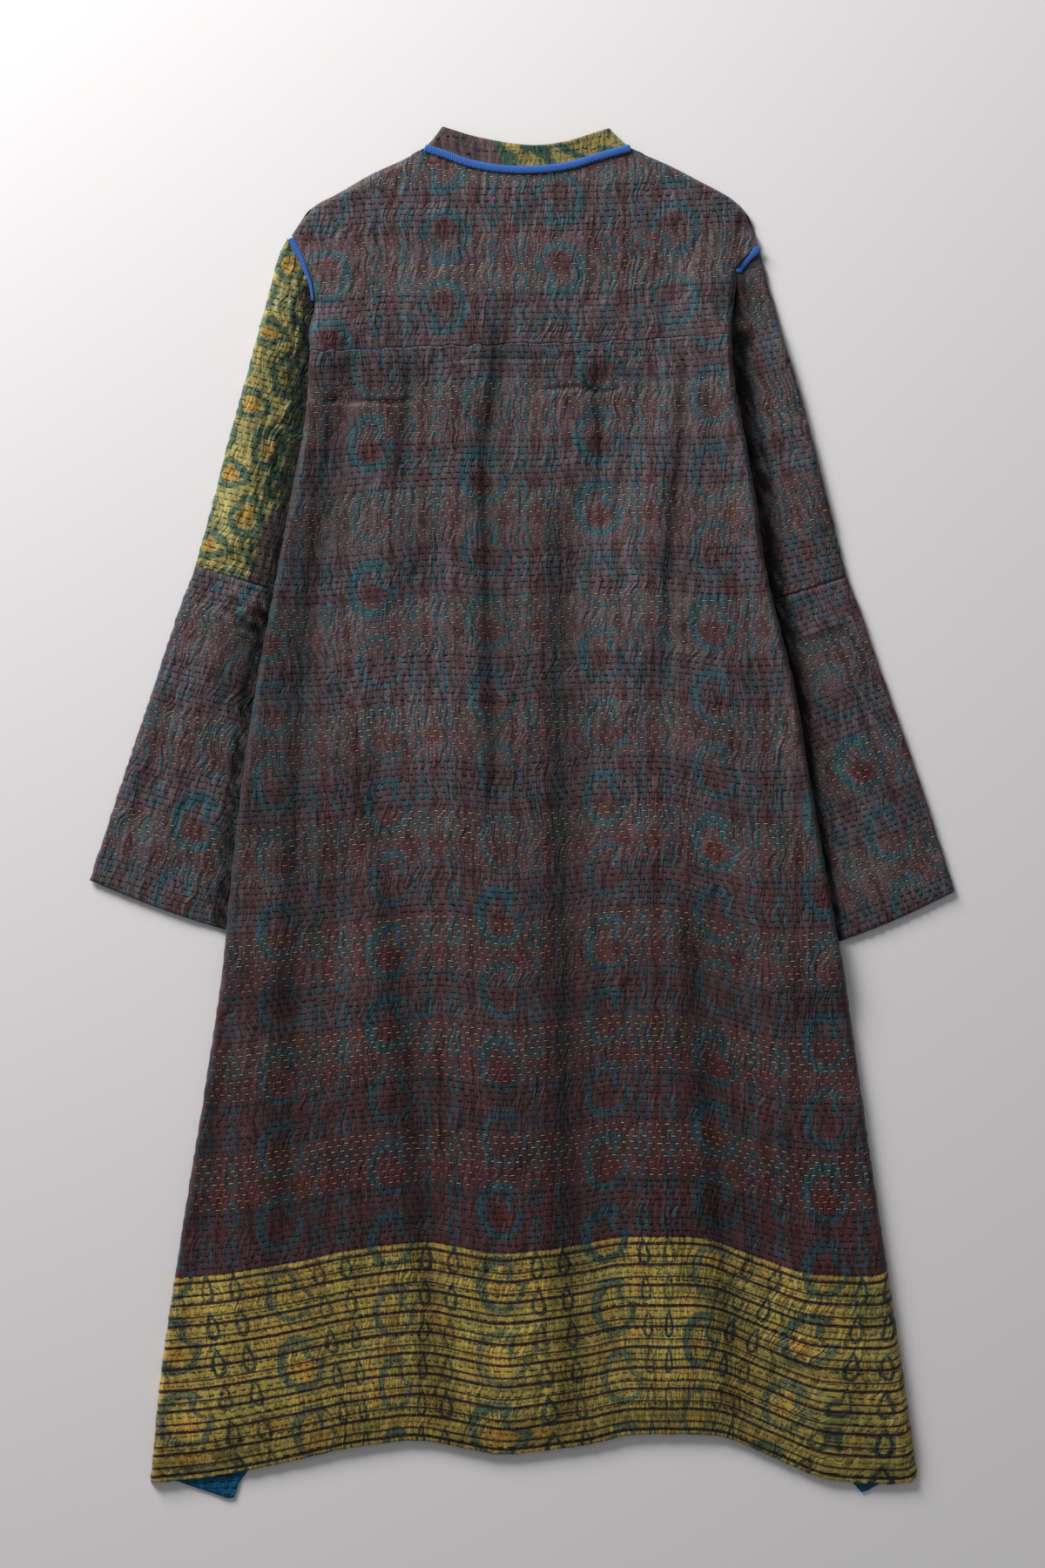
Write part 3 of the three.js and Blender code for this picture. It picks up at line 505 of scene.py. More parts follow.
def round_print_group():
    """The print of the yellow cloth: round rings and pointed ones in turn, each round a gold spot."""
    tree, across, along = node_group("round print", "Cloth", ("Outline", "Spot"), 1 / MM)
    wide, tall = 45.0, 64.5
    ragged = grain(across, along, 2.6, 1.3, 21.0)
    across = across + grain(across, along, 20, 20, 22.0) * 14 + ragged * 2.4
    along = along + grain(across, along, 20, 20, 23.0) * 14 + ragged * 1.8

    def cell(first_across, first_along):
        column, row = (across - first_across) / wide, (along - first_along) / tall
        return column.off_nearest() * wide, row.off_nearest() * tall

    x, y = cell(-464.0, 753.0)
    reach = length_of(x / 12.5, y / 15.5)
    ring = stroke((reach - 1) * 14, 3.6, 1.8)
    gold = filled(reach * -14 + 6.5 + ragged * 6, 5)
    x, y = cell(-486.0, 722.0)
    pointed = filled(teardrop(y, x, -17.0, 20.0, 15.0), 1.5)
    hollow = filled(teardrop(y, x, -11.0, 10.0, 8.0), 1.5)
    second = filled(length_of((x + 4) / 9, y / 9) * -8 + 7 + ragged * 5, 4)
    worn = grain(across, along, 5, 3, 24.0) * 0.9 + grain(across, along, 1.5, 0.9, 25.0) * 1.2 + 0.86
    outline = (ring.math("MAXIMUM", pointed - hollow) * worn).clamped()
    return give(tree, Outline=outline, Spot=gold.math("MAXIMUM", second))


WEAVE, QUILTING, MOTIFS, ROUND_PRINT = weave_group(), quilting_group(), motif_group(), round_print_group()


def tone(red, green, blue):
    """Linear colour from the scale of 0 to 255 that swatches are read in."""
    value = np.array([red, green, blue]) / 255
    return (*np.where(value <= 0.04045, value / 12.92, ((value + 0.055) / 1.055) ** 2.4).tolist(), 1.0)


def add_group(tree, group, vector):
    """Places a shader group, wires its one input to a vector, and gives its outputs by name, as fields."""
    node = tree.nodes.new("ShaderNodeGroup")
    node.node_tree = group
    tree.links.new(vector, node.inputs[0])
    return {socket.name: Field(tree, socket) for socket in node.outputs}


def carried(tree, title):
    """One of the layers that a piece carries, as a vector."""
    node = tree.nodes.new("ShaderNodeUVMap")
    node.uv_map = title
    return node.outputs["UV"]


def dyed(base, colour, amount):
    """A base colour with another laid over it, by an amount that changes over the cloth."""
    node = amount.tree.nodes.new("ShaderNodeMix")
    node.data_type = "RGBA"
    amount.tree.links.new(amount.socket, node.inputs[0])
    for socket, value in ((node.inputs[6], base), (node.inputs[7], colour)):
        if isinstance(value, tuple):
            socket.default_value = value
        else:
            amount.tree.links.new(value, socket)
    return node.outputs[2]


def shaded(colour, amount):
    """A colour made lighter or darker by an amount that changes over the cloth."""
    node = amount.tree.nodes.new("ShaderNodeVectorMath")
    node.operation = "SCALE"
    amount.tree.links.new(colour, node.inputs[0])
    amount.tree.links.new(amount.socket, node.inputs["Scale"])
    return node.outputs[0]


def bumped(shader, height):
    """Relief on a finish, from a height in millimetres."""
    node = height.tree.nodes.new("ShaderNodeBump")
    node.inputs["Distance"].default_value = MM
    node.inputs["Strength"].default_value = 1.0
    height.tree.links.new(height.socket, node.inputs["Height"])
    height.tree.links.new(node.outputs["Normal"], shader.inputs["Normal"])


def new_finish(name, constants):
    """New material with constant values on its shader's own sockets: the material, its tree and shader."""
    material = bpy.data.materials.new(name)
    material.use_nodes = True
    shader = material.node_tree.nodes["Principled BSDF"]
    for title, value in constants.items():
        shader.inputs[title].default_value = value
    return material, material.node_tree, shader


def quilted_silk(name, dye, deep=1.0):
    """Finish of quilted silk: dye gives its colour, the weave adds tone and relief, and the stitch rows
    add painted shade and relief.
    """
    soft_sheen = {"Specular IOR Level": 0.24, "Sheen Weight": 0.08, "Sheen Roughness": 0.45}
    material, tree, shader = new_finish(name, soft_sheen)
    cloth = carried(tree, "cloth")
    weave = add_group(tree, WEAVE, cloth)
    rows = add_group(tree, QUILTING, carried(tree, "stitching"))
    painted_shade, _ = fields(tree, carried(tree, "shade"))
    # painted shade from the stitch rows and from the piece's shade layer darkens the colour, with the weave's
    # tone
    shade = weave["Shade"] * rows["Shade"] * (painted_shade * -1 + 1)
    tree.links.new(shaded(dye(tree, cloth, weave["Weft"]), shade), shader.inputs["Base Color"])
    tree.links.new((shade * -0.2 + 0.72).socket, shader.inputs["Roughness"])
    bumped(shader, weave["Height"] + rows["Height"] * deep)
    return material


MAUVE, MAROON = tone(90, 82, 86), tone(64, 42, 44)
TEAL, DEEP_TEAL, WINE, PLUM = tone(52, 96, 106), tone(18, 52, 60), tone(76, 34, 34), tone(86, 50, 54)


def printed(tree, cloth, weft, ground, deep=0.0):
    """A ground colour with plum running through it in loose patches, printed in teal and wine red.

    The teal is flecked with a deeper one, and deep adds more of that.
    """
    figures = add_group(tree, MOTIFS, cloth)
    across, along = fields(tree, cloth, 1 / MM)
    patches = grain(across, along, 22, 11, 34.0) * 2.0 + grain(across, along, 4, 3, 35.0) * 1.2
    patches = patches + grain(across, along, 80, 110, 36.0) * 1.8
    colour = dyed(ground, PLUM, (weft * 0.3 + patches + 0.1).clamped() * 0.7)
    colour = dyed(colour, WINE, figures["Blush"] * 0.8)
    colour = dyed(colour, WINE, figures["Spot"] * 0.75)
    fleck = grain(across, along, 2.0, 1.4, 38.0) * 2.8 + 0.2
    teal = dyed(TEAL, DEEP_TEAL, (fleck + deep).clamped())
    return dyed(colour, teal, figures["Ring"].math("MAXIMUM", figures["Drop"]) * 0.88)


def maroon_dye(tree, cloth, weft):
    """Mauve silk with the main print."""
    return printed(tree, cloth, weft, MAUVE)


OLIVE, JADE, PAINTED_SHADE_JADE, GOLD = tone(170, 162, 100), tone(42, 92, 82), tone(6, 34, 26), tone(184, 140, 60)
MAROON_RUN = tone(66, 54, 56)


def olive_dye(tree, cloth, weft):
    """Yellow-green silk printed in jade with gold spots. Painted shade darkens it to deep jade towards
    its inner side, beside the body.

    At one corner of the piece it runs into maroon.
    """
    figures = add_group(tree, ROUND_PRINT, cloth)
    across, along = fields(tree, cloth, 1 / MM)
    blotch = grain(across, along, 26, 30, 32.0) * 2.4 + grain(across, along, 5, 4, 33.0) * 1.5
    # painted shade: the colour darkens to near-black jade towards the sleeve's inner side, beside the body
    inner = (across + along * 0.133 + 359) / 20 + grain(across, along, 4.5, 16, 37.0, 1.0) * 3.0
    colour = dyed(OLIVE, GOLD, weft * 0.3)
    colour = dyed(colour, GOLD, figures["Spot"] * 0.75)
    colour = dyed(colour, JADE, (blotch - 0.02).clamped() * 0.9)
    colour = dyed(colour, JADE, figures["Outline"] * 0.9)
    colour = dyed(colour, PAINTED_SHADE_JADE, (inner + blotch * 0.35 + 0.15).clamped() * 0.93)
    bleed = grain(across, along, 24, 12, 31.0) * 14
    corner = filled(across + bleed + 449, 8) * filled(along * -1 + across * 0.7 + bleed + 1075, 12)
    dark = dyed(MAROON_RUN, TEAL, add_group(tree, MOTIFS, cloth)["Ring"] * 0.8)
    return dyed(colour, dark, corner)


MAROON_SILK = quilted_silk("maroon silk", maroon_dye)
OLIVE_SILK = quilted_silk("olive silk", olive_dye)

THREAD, thread_tree, thread_shader = new_finish("silk thread", {"Roughness": 0.55, "Specular IOR Level": 0.2})
thread_tint = thread_tree.nodes.new("ShaderNodeAttribute")
thread_tint.attribute_name = "thread"
thread_tree.links.new(thread_tint.outputs["Color"], thread_shader.inputs["Base Color"])

YELLOW_THREAD, ORANGE_THREAD = tone(182, 160, 114), tone(200, 124, 94)
DARK_THREAD, FADED_THREAD = tone(10, 8, 10), tone(52, 42, 46)
DARKEST_BRIGHT = 0.04  # thread whose green is less than this counts as dark, and is a little thicker
BAND_ROWS, ORANGE_FROM, YELLOW_FROM = 17, 8, 12  # rows in a repeat, and where its two bright bands start


def banded_threads(row, x, y):
    """Thread colour of each stitch: bands of dark, orange and yellow rows, which repeat up the cloth.

    The dark thread has faded in patches, and more so towards the collar.
    """
    place = np.mod(row, BAND_ROWS)[:, None]
    bright = np.where(place < YELLOW_FROM, ORANGE_THREAD, YELLOW_THREAD)
    faded = smooth(0.1 + y / 2300 + 1.3 * noise(x, y, (70, 12), 91))[:, None]
    dark = mix(np.array(DARK_THREAD), np.array(FADED_THREAD), faded)
    return np.where(place < ORANGE_FROM, dark, bright)


def dark_threads(row, x, y):
    """The same dark thread for every stitch."""
    return np.broadcast_to(np.array(DARK_THREAD), (len(row), 4))


STITCH_MARGIN, WORN_SHARE = 2.4, 0.06  # a panel's edge without stitches, and share of stitches worn away
HALF_THREAD, OUT_OF_STEP = (0.22, 0.34), 0.07  # range of half a thread's length, and its drift, in stitches
PINCHED = 0.16  # share of a thread's length that each pinched end takes up
CROWN, SIDES_SUNK, TIPS_SUNK = 0.5, 0.05, 0.15  # how far a thread rises over the cloth and sinks into it
THREAD_LIGHT = (0.75, 1.2)  # range of the threads' brightness


def running_stitches(name, outline, grid, height, threads, seed, shade=unshaded):
    """Every stitch that shows on a panel: a short thread with pinched ends, as a bar of three sides.

    A straight-line fit of the stitch grid gives its first place. Moving it by its own error, six
    times, puts it where the grid has its stitch number and row number.
    """
    draw = np.random.default_rng(seed)
    low, high = outline.min(0), outline.max(0)
    sx, sy = (a.ravel() for a in np.meshgrid(*np.linspace(low, high, 40).T))
    keep = inside(outline, sx, sy)
    known = np.stack([sx[keep], sy[keep], np.ones(keep.sum())], 1)
    counted = np.stack(grid(sx[keep], sy[keep]), 1)
    fit = np.linalg.lstsq(known, counted, rcond=None)[0]
    back = np.linalg.inv(fit[:2])

    def settle(number, row):
        wanted = np.stack([number, row], 1)
        place = (wanted - fit[2]) @ back
        for _ in range(6):
            place += (wanted - np.stack(grid(place[:, 0], place[:, 1]), 1)) @ back
        return place

    first, last = np.floor(counted.min(0)).astype(int) - 2, np.ceil(counted.max(0)).astype(int) + 3
    numbers, rows = (np.arange(first[i], last[i]) for i in (0, 1))
    number, row = (a.ravel() for a in np.meshgrid(numbers, rows))
    step = number + np.mod(row * ROW_SHIFT, 1)
    middle = settle(step, row)
    shown = inside(outline, *middle.T)
    shown[shown] = distance_to(np.concatenate([outline, outline[:1]]), *middle[shown].T) > STITCH_MARGIN
    shown &= draw.random(len(row)) > WORN_SHARE
    step, row = step[shown], row[shown]
    jitter = draw.normal(0, OUT_OF_STEP, (2, len(row)))
    half = draw.uniform(*HALF_THREAD, len(row))
    ends = [settle(step + jitter[0] + way * half, row + jitter[1]) for way in (-1, 1)]
    run = ends[1] - ends[0]
    colours = threads(row, *middle[shown].T)
    wide = np.where(colours[:, 1] < DARKEST_BRIGHT, DARK_WIDTH, THREAD_WIDTH)
    side = np.stack([-run[:, 1], run[:, 0]], 1) * (wide / np.hypot(*run.T) / 2)[:, None]
    count = len(row)
    points = np.zeros((count, 8, 3))
    for tip, end in ((0, ends[0]), (7, ends[1])):
        points[:, tip, :2] = end
        points[:, tip, 2] = height(*end.T) - TIPS_SUNK
    for start, share in ((1, PINCHED), (4, 1 - PINCHED)):
        spot = mix(ends[0], ends[1], share)
        level = height(*spot.T)
        for corner, (out, up) in enumerate(((1, -SIDES_SUNK), (0, CROWN), (-1, -SIDES_SUNK))):
            points[:, start + corner, :2] = spot + side * out
            points[:, start + corner, 2] = level + up
    offset = 8 * np.arange(count)[:, None]
    tips = [[0, 2, 1], [0, 3, 2], [0, 1, 3], [7, 4, 5], [7, 5, 6], [7, 6, 4]]
    sides = [[1, 2, 5, 4], [2, 3, 6, 5], [3, 1, 4, 6]]
    faces = [offset + np.array(face) for face in tips + sides]
    piece = new_piece(name, points.reshape(-1, 3), faces, THREAD, {})
    # each thread's brightness varies at random, and the painted shade of the cloth under it darkens it too
    light = draw.uniform(*THREAD_LIGHT, count) * (1 - shade(*middle[shown].T))
    colours = colours * light[:, None]
    tint = piece.data.color_attributes.new("thread", "FLOAT_COLOR", "POINT")
    tint.data.foreach_set("color", np.repeat(np.clip(colours, 0, 1), 8, axis=0).ravel())
    return piece


def outline_of(plan):
    """Closed outline of a patch, round its four boundaries."""
    t, low, high = np.linspace(0, 1, 41), np.zeros(41), np.ones(41)
    sides = [plan(t, low), plan(high, t), plan(t[::-1], high), plan(low, t[::-1])]
    return np.concatenate([side.T[:-1] for side in sides])


def area_of(outline):
    """Area inside a closed outline, in square metres."""
    x, y = outline.T * MM
    return float(abs(np.sum(x * np.roll(y, -1) - np.roll(x, -1) * y)) / 2)


def bells(rows, x, y):
    """Sum of a bell across each straight line of a table: height, half width, from x, y, to x, y."""
    return sum(
        height * np.exp(-((distance_to([(ax, ay), (bx, by)], x, y) / half) ** 2))
        for height, half, ax, ay, bx, by in rows
    )


TOP_COLUMNS, UNDER_COLUMNS, SLEEVE_ROWS = 88, 8, 152


def sleeve_piece(name, plan, cloth, grid, seed, material):
    """Flattened tube: its outside rises as a quarter circle at both folds and lies flat below.

    The top has folds, ripples and edges that are scalloped a little where the stitches pull at them.
    """
    half = SLEEVE_HEIGHT / 2
    t = np.linspace(0, 1, 60)
    folds = [plan(np.full(60, side), t).T for side in (0.0, 1.0)]
    ends = [plan(t, np.full(60, end)).T for end in (0.0, 1.0)]

    def top(x, y):
        edge = np.minimum(*(distance_to(line, x, y) for line in folds))
        end = np.minimum(*(distance_to(line, x, y) for line in ends))
        height = half + (half + bells(SLEEVE_FOLDS, x, y)) * rounded(edge, SLEEVE_ROLL)
        height += SLEEVE_RIPPLES * ripples(*cloth(x, y), seed) * rounded(edge, 7)
        return height - 0.9 * (1 - rounded(end, 1.2))

    over = places(TOP_COLUMNS, lambda u: 1 - 0.65 * near_ends(u, 0.03))
    under = np.linspace(1, 0, UNDER_COLUMNS + 1)[1:-1]
    u, v = np.meshgrid(np.concatenate([over, under]), np.linspace(0, 1, SLEEVE_ROWS + 1))
    x, y = plan(u, v)
    above = np.arange(u.shape[1]) < len(over)
    scallop = SLEEVE_SCALLOP * noise(y, x * 0, (4.2, 1), seed + 7) * near_ends(u, 1 / 40)
    outer = np.stack([x + scallop * np.sign(u - 0.5), y, np.where(above, top(x, y), 0)], -1)
    cut_u, cut_v = u[::EVERY, ::EVERY], v[::EVERY, ::EVERY]
    wide = np.hypot(*(plan(np.ones(1), np.full(1, 0.5)) - plan(np.zeros(1), np.full(1, 0.5))))
    inset = SLEEVE_WALL / wide
    ix, iy = plan(np.clip(cut_u, inset, 1 - inset), cut_v)
    low, high = SLEEVE_HOLLOW
    crown = np.maximum(high + bells(SLEEVE_FOLDS, ix, iy), half)
    crown = np.where(np.minimum(cut_u, 1 - cut_u) < inset, half, crown)
    inner = np.stack([ix, iy, np.where(above[::EVERY], crown, low)], -1)
    piece = shell_piece(f"{name}_silk", outer, inner, material, cloth, grid, sleeve_painted_shade, around=True)
    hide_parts(name)
    return piece, top


def turned_cloth(axis, across_shift, along_shift, flip):
    """Places on a cloth whose warp runs along an axis in plan. Flip is -1 where it is cut upside down."""
    length = np.hypot(*axis)
    ax, ay = axis[0] / length, axis[1] / length

    def cloth(x, y):
        return flip * (ay * x - ax * y) + across_shift, flip * (ax * x + ay * y) + along_shift

    return cloth


def grid_on(cloth, seed, shift, scale=1.0):
    """Stitch grid of a panel: its rows start at a shift along the cloth, and scale sets them closer."""

    def grid(x, y):
        across, along = cloth(x, y)
        return stitch_grid(across, along * scale + shift, seed)

    return grid


body_left, body_right = follow(BODY_EDGES, 1), follow(BODY_EDGES, 2)
# Painted shade in the hollows and creases below the elbow: share of light lost, half width, from x, y, to x,
# y
ELBOW_PAINTED_SHADE = [
    (0.46, 19, -246, 738, -252, 694), (0.7, 2.8, -264, 772, -241, 757), (0.75, 2.8, -234, 776, -224, 750),
    (0.65, 2.4, -252, 757, -232, 748), (0.7, 2.4, -226, 744, -232, 722), (0.3, 9, 234, 738, 244, 690),
    (0.4, 2.2, 236, 749, 272, 759),
]


def sleeve_painted_shade(x, y):
    """Share of painted shade on a sleeve beside the body, most at the body's edge, and in its creases."""
    away = np.where(x < 0, body_left(y) - x, x - body_right(y))
    wide = np.where(x < 0, mix(12, 7, smooth((y - 750) / 50)), mix(5, 14, smooth((y - 600) / 200)))
    most = np.where(x < 0, 0.72, mix(0.74, 0.94, smooth((y - 740) / 80)))
    # painted shadow of the body's raised edge, darkening the sleeve's colour in a strip beside it
    strip = most * (1 - smooth((away - wide * 0.6) / wide)) * smooth((1072 - y) / 20)
    strip = strip * (1 + 0.7 * noise(x + y * 0.4, y, (4, 14), 93))
    return np.clip(strip + bells(ELBOW_PAINTED_SHADE, x, y), 0, 0.96)


SEAM = 0.3  # between two pieces at a seam
UNDER_BODY = 14  # how far a sleeve's stitches go on under the body, and the fronts lie within armholes
# Each sleeve: name, side, folded edge, armhole, seam's outer and inner ends, inner end of the cuff,
# then for its upper and lower piece: finish, threads, way of the warp, across and along shift of the
# print, way up, shift of the stitch rows
SLEEVES = [
    ("sleeve_left", -1, LEFT_OUTER, LEFT_ARMHOLE, (-289, 809), (-152, 767), (-225.5, 477.5), [
        (OLIVE_SILK, dark_threads, (0.271, 0.962), 0, 0, 1, 0),
        (MAROON_SILK, banded_threads, (0.283, 0.959), 439, 8, 1, -19),
    ]),
    ("sleeve_right", 1, RIGHT_OUTER, RIGHT_ARMHOLE, (286.5, 799), (158, 759), (246, 466), [
        (MAROON_SILK, banded_threads, (-0.258, 0.966), 498, 1210, -1, STITCH_ROW * 15.9 - 1210),
        (MAROON_SILK, banded_threads, (-0.36, 0.933), -508, 0, 1, STITCH_ROW * 9),
    ]),
]
for prefix, side, outer_rows, armhole_rows, seam_outer, seam_inner, cuff_inner, cloths in SLEEVES:
    outer_x, armhole_x = follow(outer_rows), follow(armhole_rows)
    cuff_outer, underarm = outer_rows[0][::-1], armhole_rows[0][::-1]
    low_y, high_y = seam_outer[1], outer_rows[-1][0]

    def cuff(t):
        x, y = straight(cuff_outer, cuff_inner)(t)
        return np.array([x, y - CUFF_BOW * np.sin(np.pi * t)])

    under_seam = [(p[0], p[1] - SEAM) for p in (seam_outer, seam_inner)]
    plans = {
        "upper": patch(straight(seam_outer, seam_inner), side_boundary(armhole_x, high_y, underarm[1]),
                       side_boundary(outer_x, low_y, high_y), straight(seam_inner, underarm)),
        "lower": patch(cuff, straight(*under_seam), side_boundary(outer_x, cuff_outer[1], low_y - SEAM),
                       straight(cuff_inner, under_seam[1])),
    }
    for number, (part, made) in enumerate(zip(plans, cloths)):
        material, threads, axis, across_shift, along_shift, flip, row_shift = made
        name = f"{prefix}_{part}"
        plan = plans[part] if side < 0 else (lambda u, v, whole=plans[part]: whole(1 - u, v))
        cloth = turned_cloth(axis, across_shift, along_shift, flip)
        seed = 100 + 20 * number + (50 if side > 0 else 0)
        grid = grid_on(cloth, seed, row_shift)
        piece, top = sleeve_piece(name, plan, cloth, grid, seed, material)
        "olive_silk" if material == OLIVE_SILK else "maroon_silk"
        outline = outline_of(plan)
        limit = body_left if side < 0 else body_right
        hidden = (outline[:, 0] - limit(outline[:, 1])) * side < -UNDER_BODY
        outline[hidden, 0] = limit(outline[hidden, 1]) - side * UNDER_BODY
        stitching = running_stitches(f"{name}_threads", outline, grid, top, threads, seed, sleeve_painted_shade)


# Fronts
# The two fronts lie face down under the back, over the tucked parts of the sleeves. Only their hem
# corners show, where the teal reverse of the cloth comes out below the hem.
HEM = [
    (-329, -1), (-280, 4), (-214, 16), (-162, 28), (-115, 35), (-86, 36), (-58, 31), (-18, 24), (24, 28),
    (59, 33), (94, 41), (129, 42), (177, 40), (212, 26), (266, 3), (297, -1), (330, -2), (343, 0), (350, 5),
]
YOKE_SEAM = [(-188, 998), (-154, 999), (-31, 1004), (77, 1006), (185, 1013)]
YOKE_EDGES = [
    (998, -188, 185), (1016, -188, 185), (1040, -183, 186.5), (1056, -184.5, 187.5), (1070, -189, 188.5),
    (1080, -193, 196), (1090, -198, 205.5), (1101, -204, 205.8),
]
LEFT_SHOULDER = [(-204, 1101), (-188, 1123), (-161, 1139), (-135, 1154), (-105, 1168), (-87, 1177)]
RIGHT_SHOULDER = [(96, 1177), (129, 1163), (158, 1148), (185, 1133), (200, 1117), (206, 1101)]
BACK_NECK = [
    (-87, 1177), (-67, 1170.5), (-47, 1163.5), (-24, 1159), (-1, 1157.5), (22, 1158.5), (44, 1162),
    (67, 1169), (96, 1177),
]
# Hem of each front, x, y, and the top of the corner of it that shows
FRONT_HEMS = {
    -1: [(-325, 6), (-304, -0.5), (-262, -14.5), (-256, -16), (-253, -9), (-247, 8), (-214, 27), (-150, 42),
         (-60, 47), (-2, 48)],
    1: [(2, 48), (60, 49), (160, 52), (212, 37), (260, 20), (292, 8), (297, -9), (314, -3), (345, 9)],
}
CORNER_ENDS = {-1: [(-247, 17), (-325, 17)], 1: [(345, 17)]}
# The x of both ends of the back neck, of the shoulders, of the yoke's seam and of the back's hem
NECK_LEFT, NECK_RIGHT = BACK_NECK[0][0], BACK_NECK[-1][0]
SHOULDER_LEFT, SHOULDER_RIGHT = LEFT_SHOULDER[0][0], RIGHT_SHOULDER[-1][0]
SEAM_LEFT, SEAM_RIGHT = YOKE_SEAM[0][0], YOKE_SEAM[-1][0]
HEM_LEFT, HEM_RIGHT = HEM[0][0], HEM[-1][0]
SHOULDER_END = 1101  # height up the plan of the outer end of both shoulders
FRONT_NECK_TOP, FRONT_NECK_LOW = 1173, 84  # the ends of the front neck, and how far its middle dips
UNDER_SIDE, UNDER_SHOULDER = 3.5, 4.55  # how far the fronts' edges lie within the back's
LIFT = 5.8  # height of a tucked sleeve under the fronts and back
LIFT_NEAR, LIFT_EASE = 16, 46  # how far beside the sleeve that height is kept, and over what it eases away
hem, seam = follow(HEM), follow(YOKE_SEAM)
left_shoulder, right_shoulder, back_neck = follow(LEFT_SHOULDER), follow(RIGHT_SHOULDER), follow(BACK_NECK)


def top_edge(x):
    """Upper edge of the back: a shoulder on each side and the neck between them."""
    neck = np.where(x > NECK_RIGHT, right_shoulder(x), back_neck(x))
    return np.where(x < NECK_LEFT, left_shoulder(x), neck)


def tucked_outline(side, armhole, seam_end, cuff_end):
    """Outline of the part of a sleeve that lies under the back, drawn on a little beyond the back's edge."""
    (deep_y, deep_x), (mid_y, mid_x), (high_y, high_x) = armhole[0], armhole[1], armhole[3]
    out = cuff_end[0] + side * 60
    return np.array([
        (high_x, high_y), (mid_x, mid_y), (deep_x, deep_y), seam_end, (cuff_end[0], cuff_end[1] - 8),
        (out, cuff_end[1] + 12), (out, 900), (high_x + side * 10, high_y), (high_x, high_y),
    ])


TUCKED = [
    tucked_outline(side, armhole, seam_inner, cuff_inner)
    for _, side, _, armhole, _, seam_inner, cuff_inner, _ in SLEEVES
]


def lift(x, y):
    """How far a tucked sleeve raises what lies on it: all the way near it, easing away further out."""
    away = [np.where(inside(line, x, y), 0, distance_to(line, x, y)) for line in TUCKED]
    return LIFT * smooth(1 - (np.minimum(*away) - LIFT_NEAR) / LIFT_EASE)


REVERSE_TEAL, REVERSE_GREENER = tone(4, 96, 138), tone(8, 84, 108)


def teal_dye(tree, cloth, weft):
    """Plain teal, a little greener where the weft is thick."""
    return dyed(REVERSE_TEAL, REVERSE_GREENER, weft)


def front_cloth(x, y):
    """The fronts are cut square to the plan."""
    return x, y


def front_height(x, y):
    """Height of the upper face of the fronts: 2 mm of cloth on whatever lies under it."""
    return lift(x, y) + 2 + 0.35 * noise(x, y, (7, 9), 61)


FRONT_SEED = 500
front_grid = grid_on(front_cloth, FRONT_SEED, 0)
TEAL_REVERSE = quilted_silk("teal reverse", teal_dye)
for side, hem_rows in FRONT_HEMS.items():
    name = "front_left" if side < 0 else "front_right"
    front_hem = follow(hem_rows)
    front_edge = follow(BODY_EDGES[:-1] + YOKE_EDGES[1:], 1 if side < 0 else 2)
    hem_corner = hem_rows[0] if side < 0 else hem_rows[-1]
    neck_x, middle = (NECK_LEFT if side < 0 else NECK_RIGHT), side * 2
    corner_x = float(front_edge(SHOULDER_END)) - side * UNDER_BODY
    corner_y = float(top_edge(corner_x)) - UNDER_BODY

    def front_top(t):
        across = mix(corner_x, neck_x, np.minimum(2 * t, 1))
        under = top_edge(across) - mix(UNDER_BODY, UNDER_SHOULDER, smooth(np.abs(across - corner_x) / 45))
        round_neck = np.maximum(2 * t - 1, 0)
        x = np.where(t > 0.5, mix(neck_x, middle, round_neck), across)
        neck_y = FRONT_NECK_TOP - FRONT_NECK_LOW * np.sin(round_neck * np.pi / 2)
        return np.array([x, np.where(t > 0.5, neck_y, under)])

    def front_side(t):
        y = mix(hem_corner[1], corner_y, t)
        return np.array([front_edge(y) - side * mix(UNDER_SIDE, UNDER_BODY, smooth((y - 1010) / 30)), y])

    def front_centre(t):
        return np.array([np.full_like(t, middle), mix(front_hem(middle), front_top(np.ones(1))[1][0], t)])

    front = patch(end_boundary(front_hem, hem_corner[0], middle), front_top, front_side, front_centre)
    u, v = np.meshgrid(np.linspace(0, 1, 61), places(100, lambda t: 0.25 + 0.75 * smooth(t / 0.1)))
    x, y = front(u if side < 0 else 1 - u, v)
    outer = np.stack([x, y, front_height(x, y)], -1)
    inner = np.stack([x, y, lift(x, y)], -1)[::EVERY, ::EVERY]
    piece = shell_piece(f"{name}_silk", outer, inner, TEAL_REVERSE, front_cloth, front_grid)
    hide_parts(name)
    corner = np.array([*(row for row in hem_rows if abs(row[0]) > 245), *CORNER_ENDS[side]], float)
    stitching = running_stitches(
        f"{name}_threads", corner, front_grid, front_height, dark_threads, FRONT_SEED)
    area_of(outline_of(front))


# Lower back
# One long flared panel of printed silk, quilted in bands of dark, orange and yellow thread, with the
# woven border of the cloth at its hem. It is sewn to the yoke, and small tucks take in its top edge.

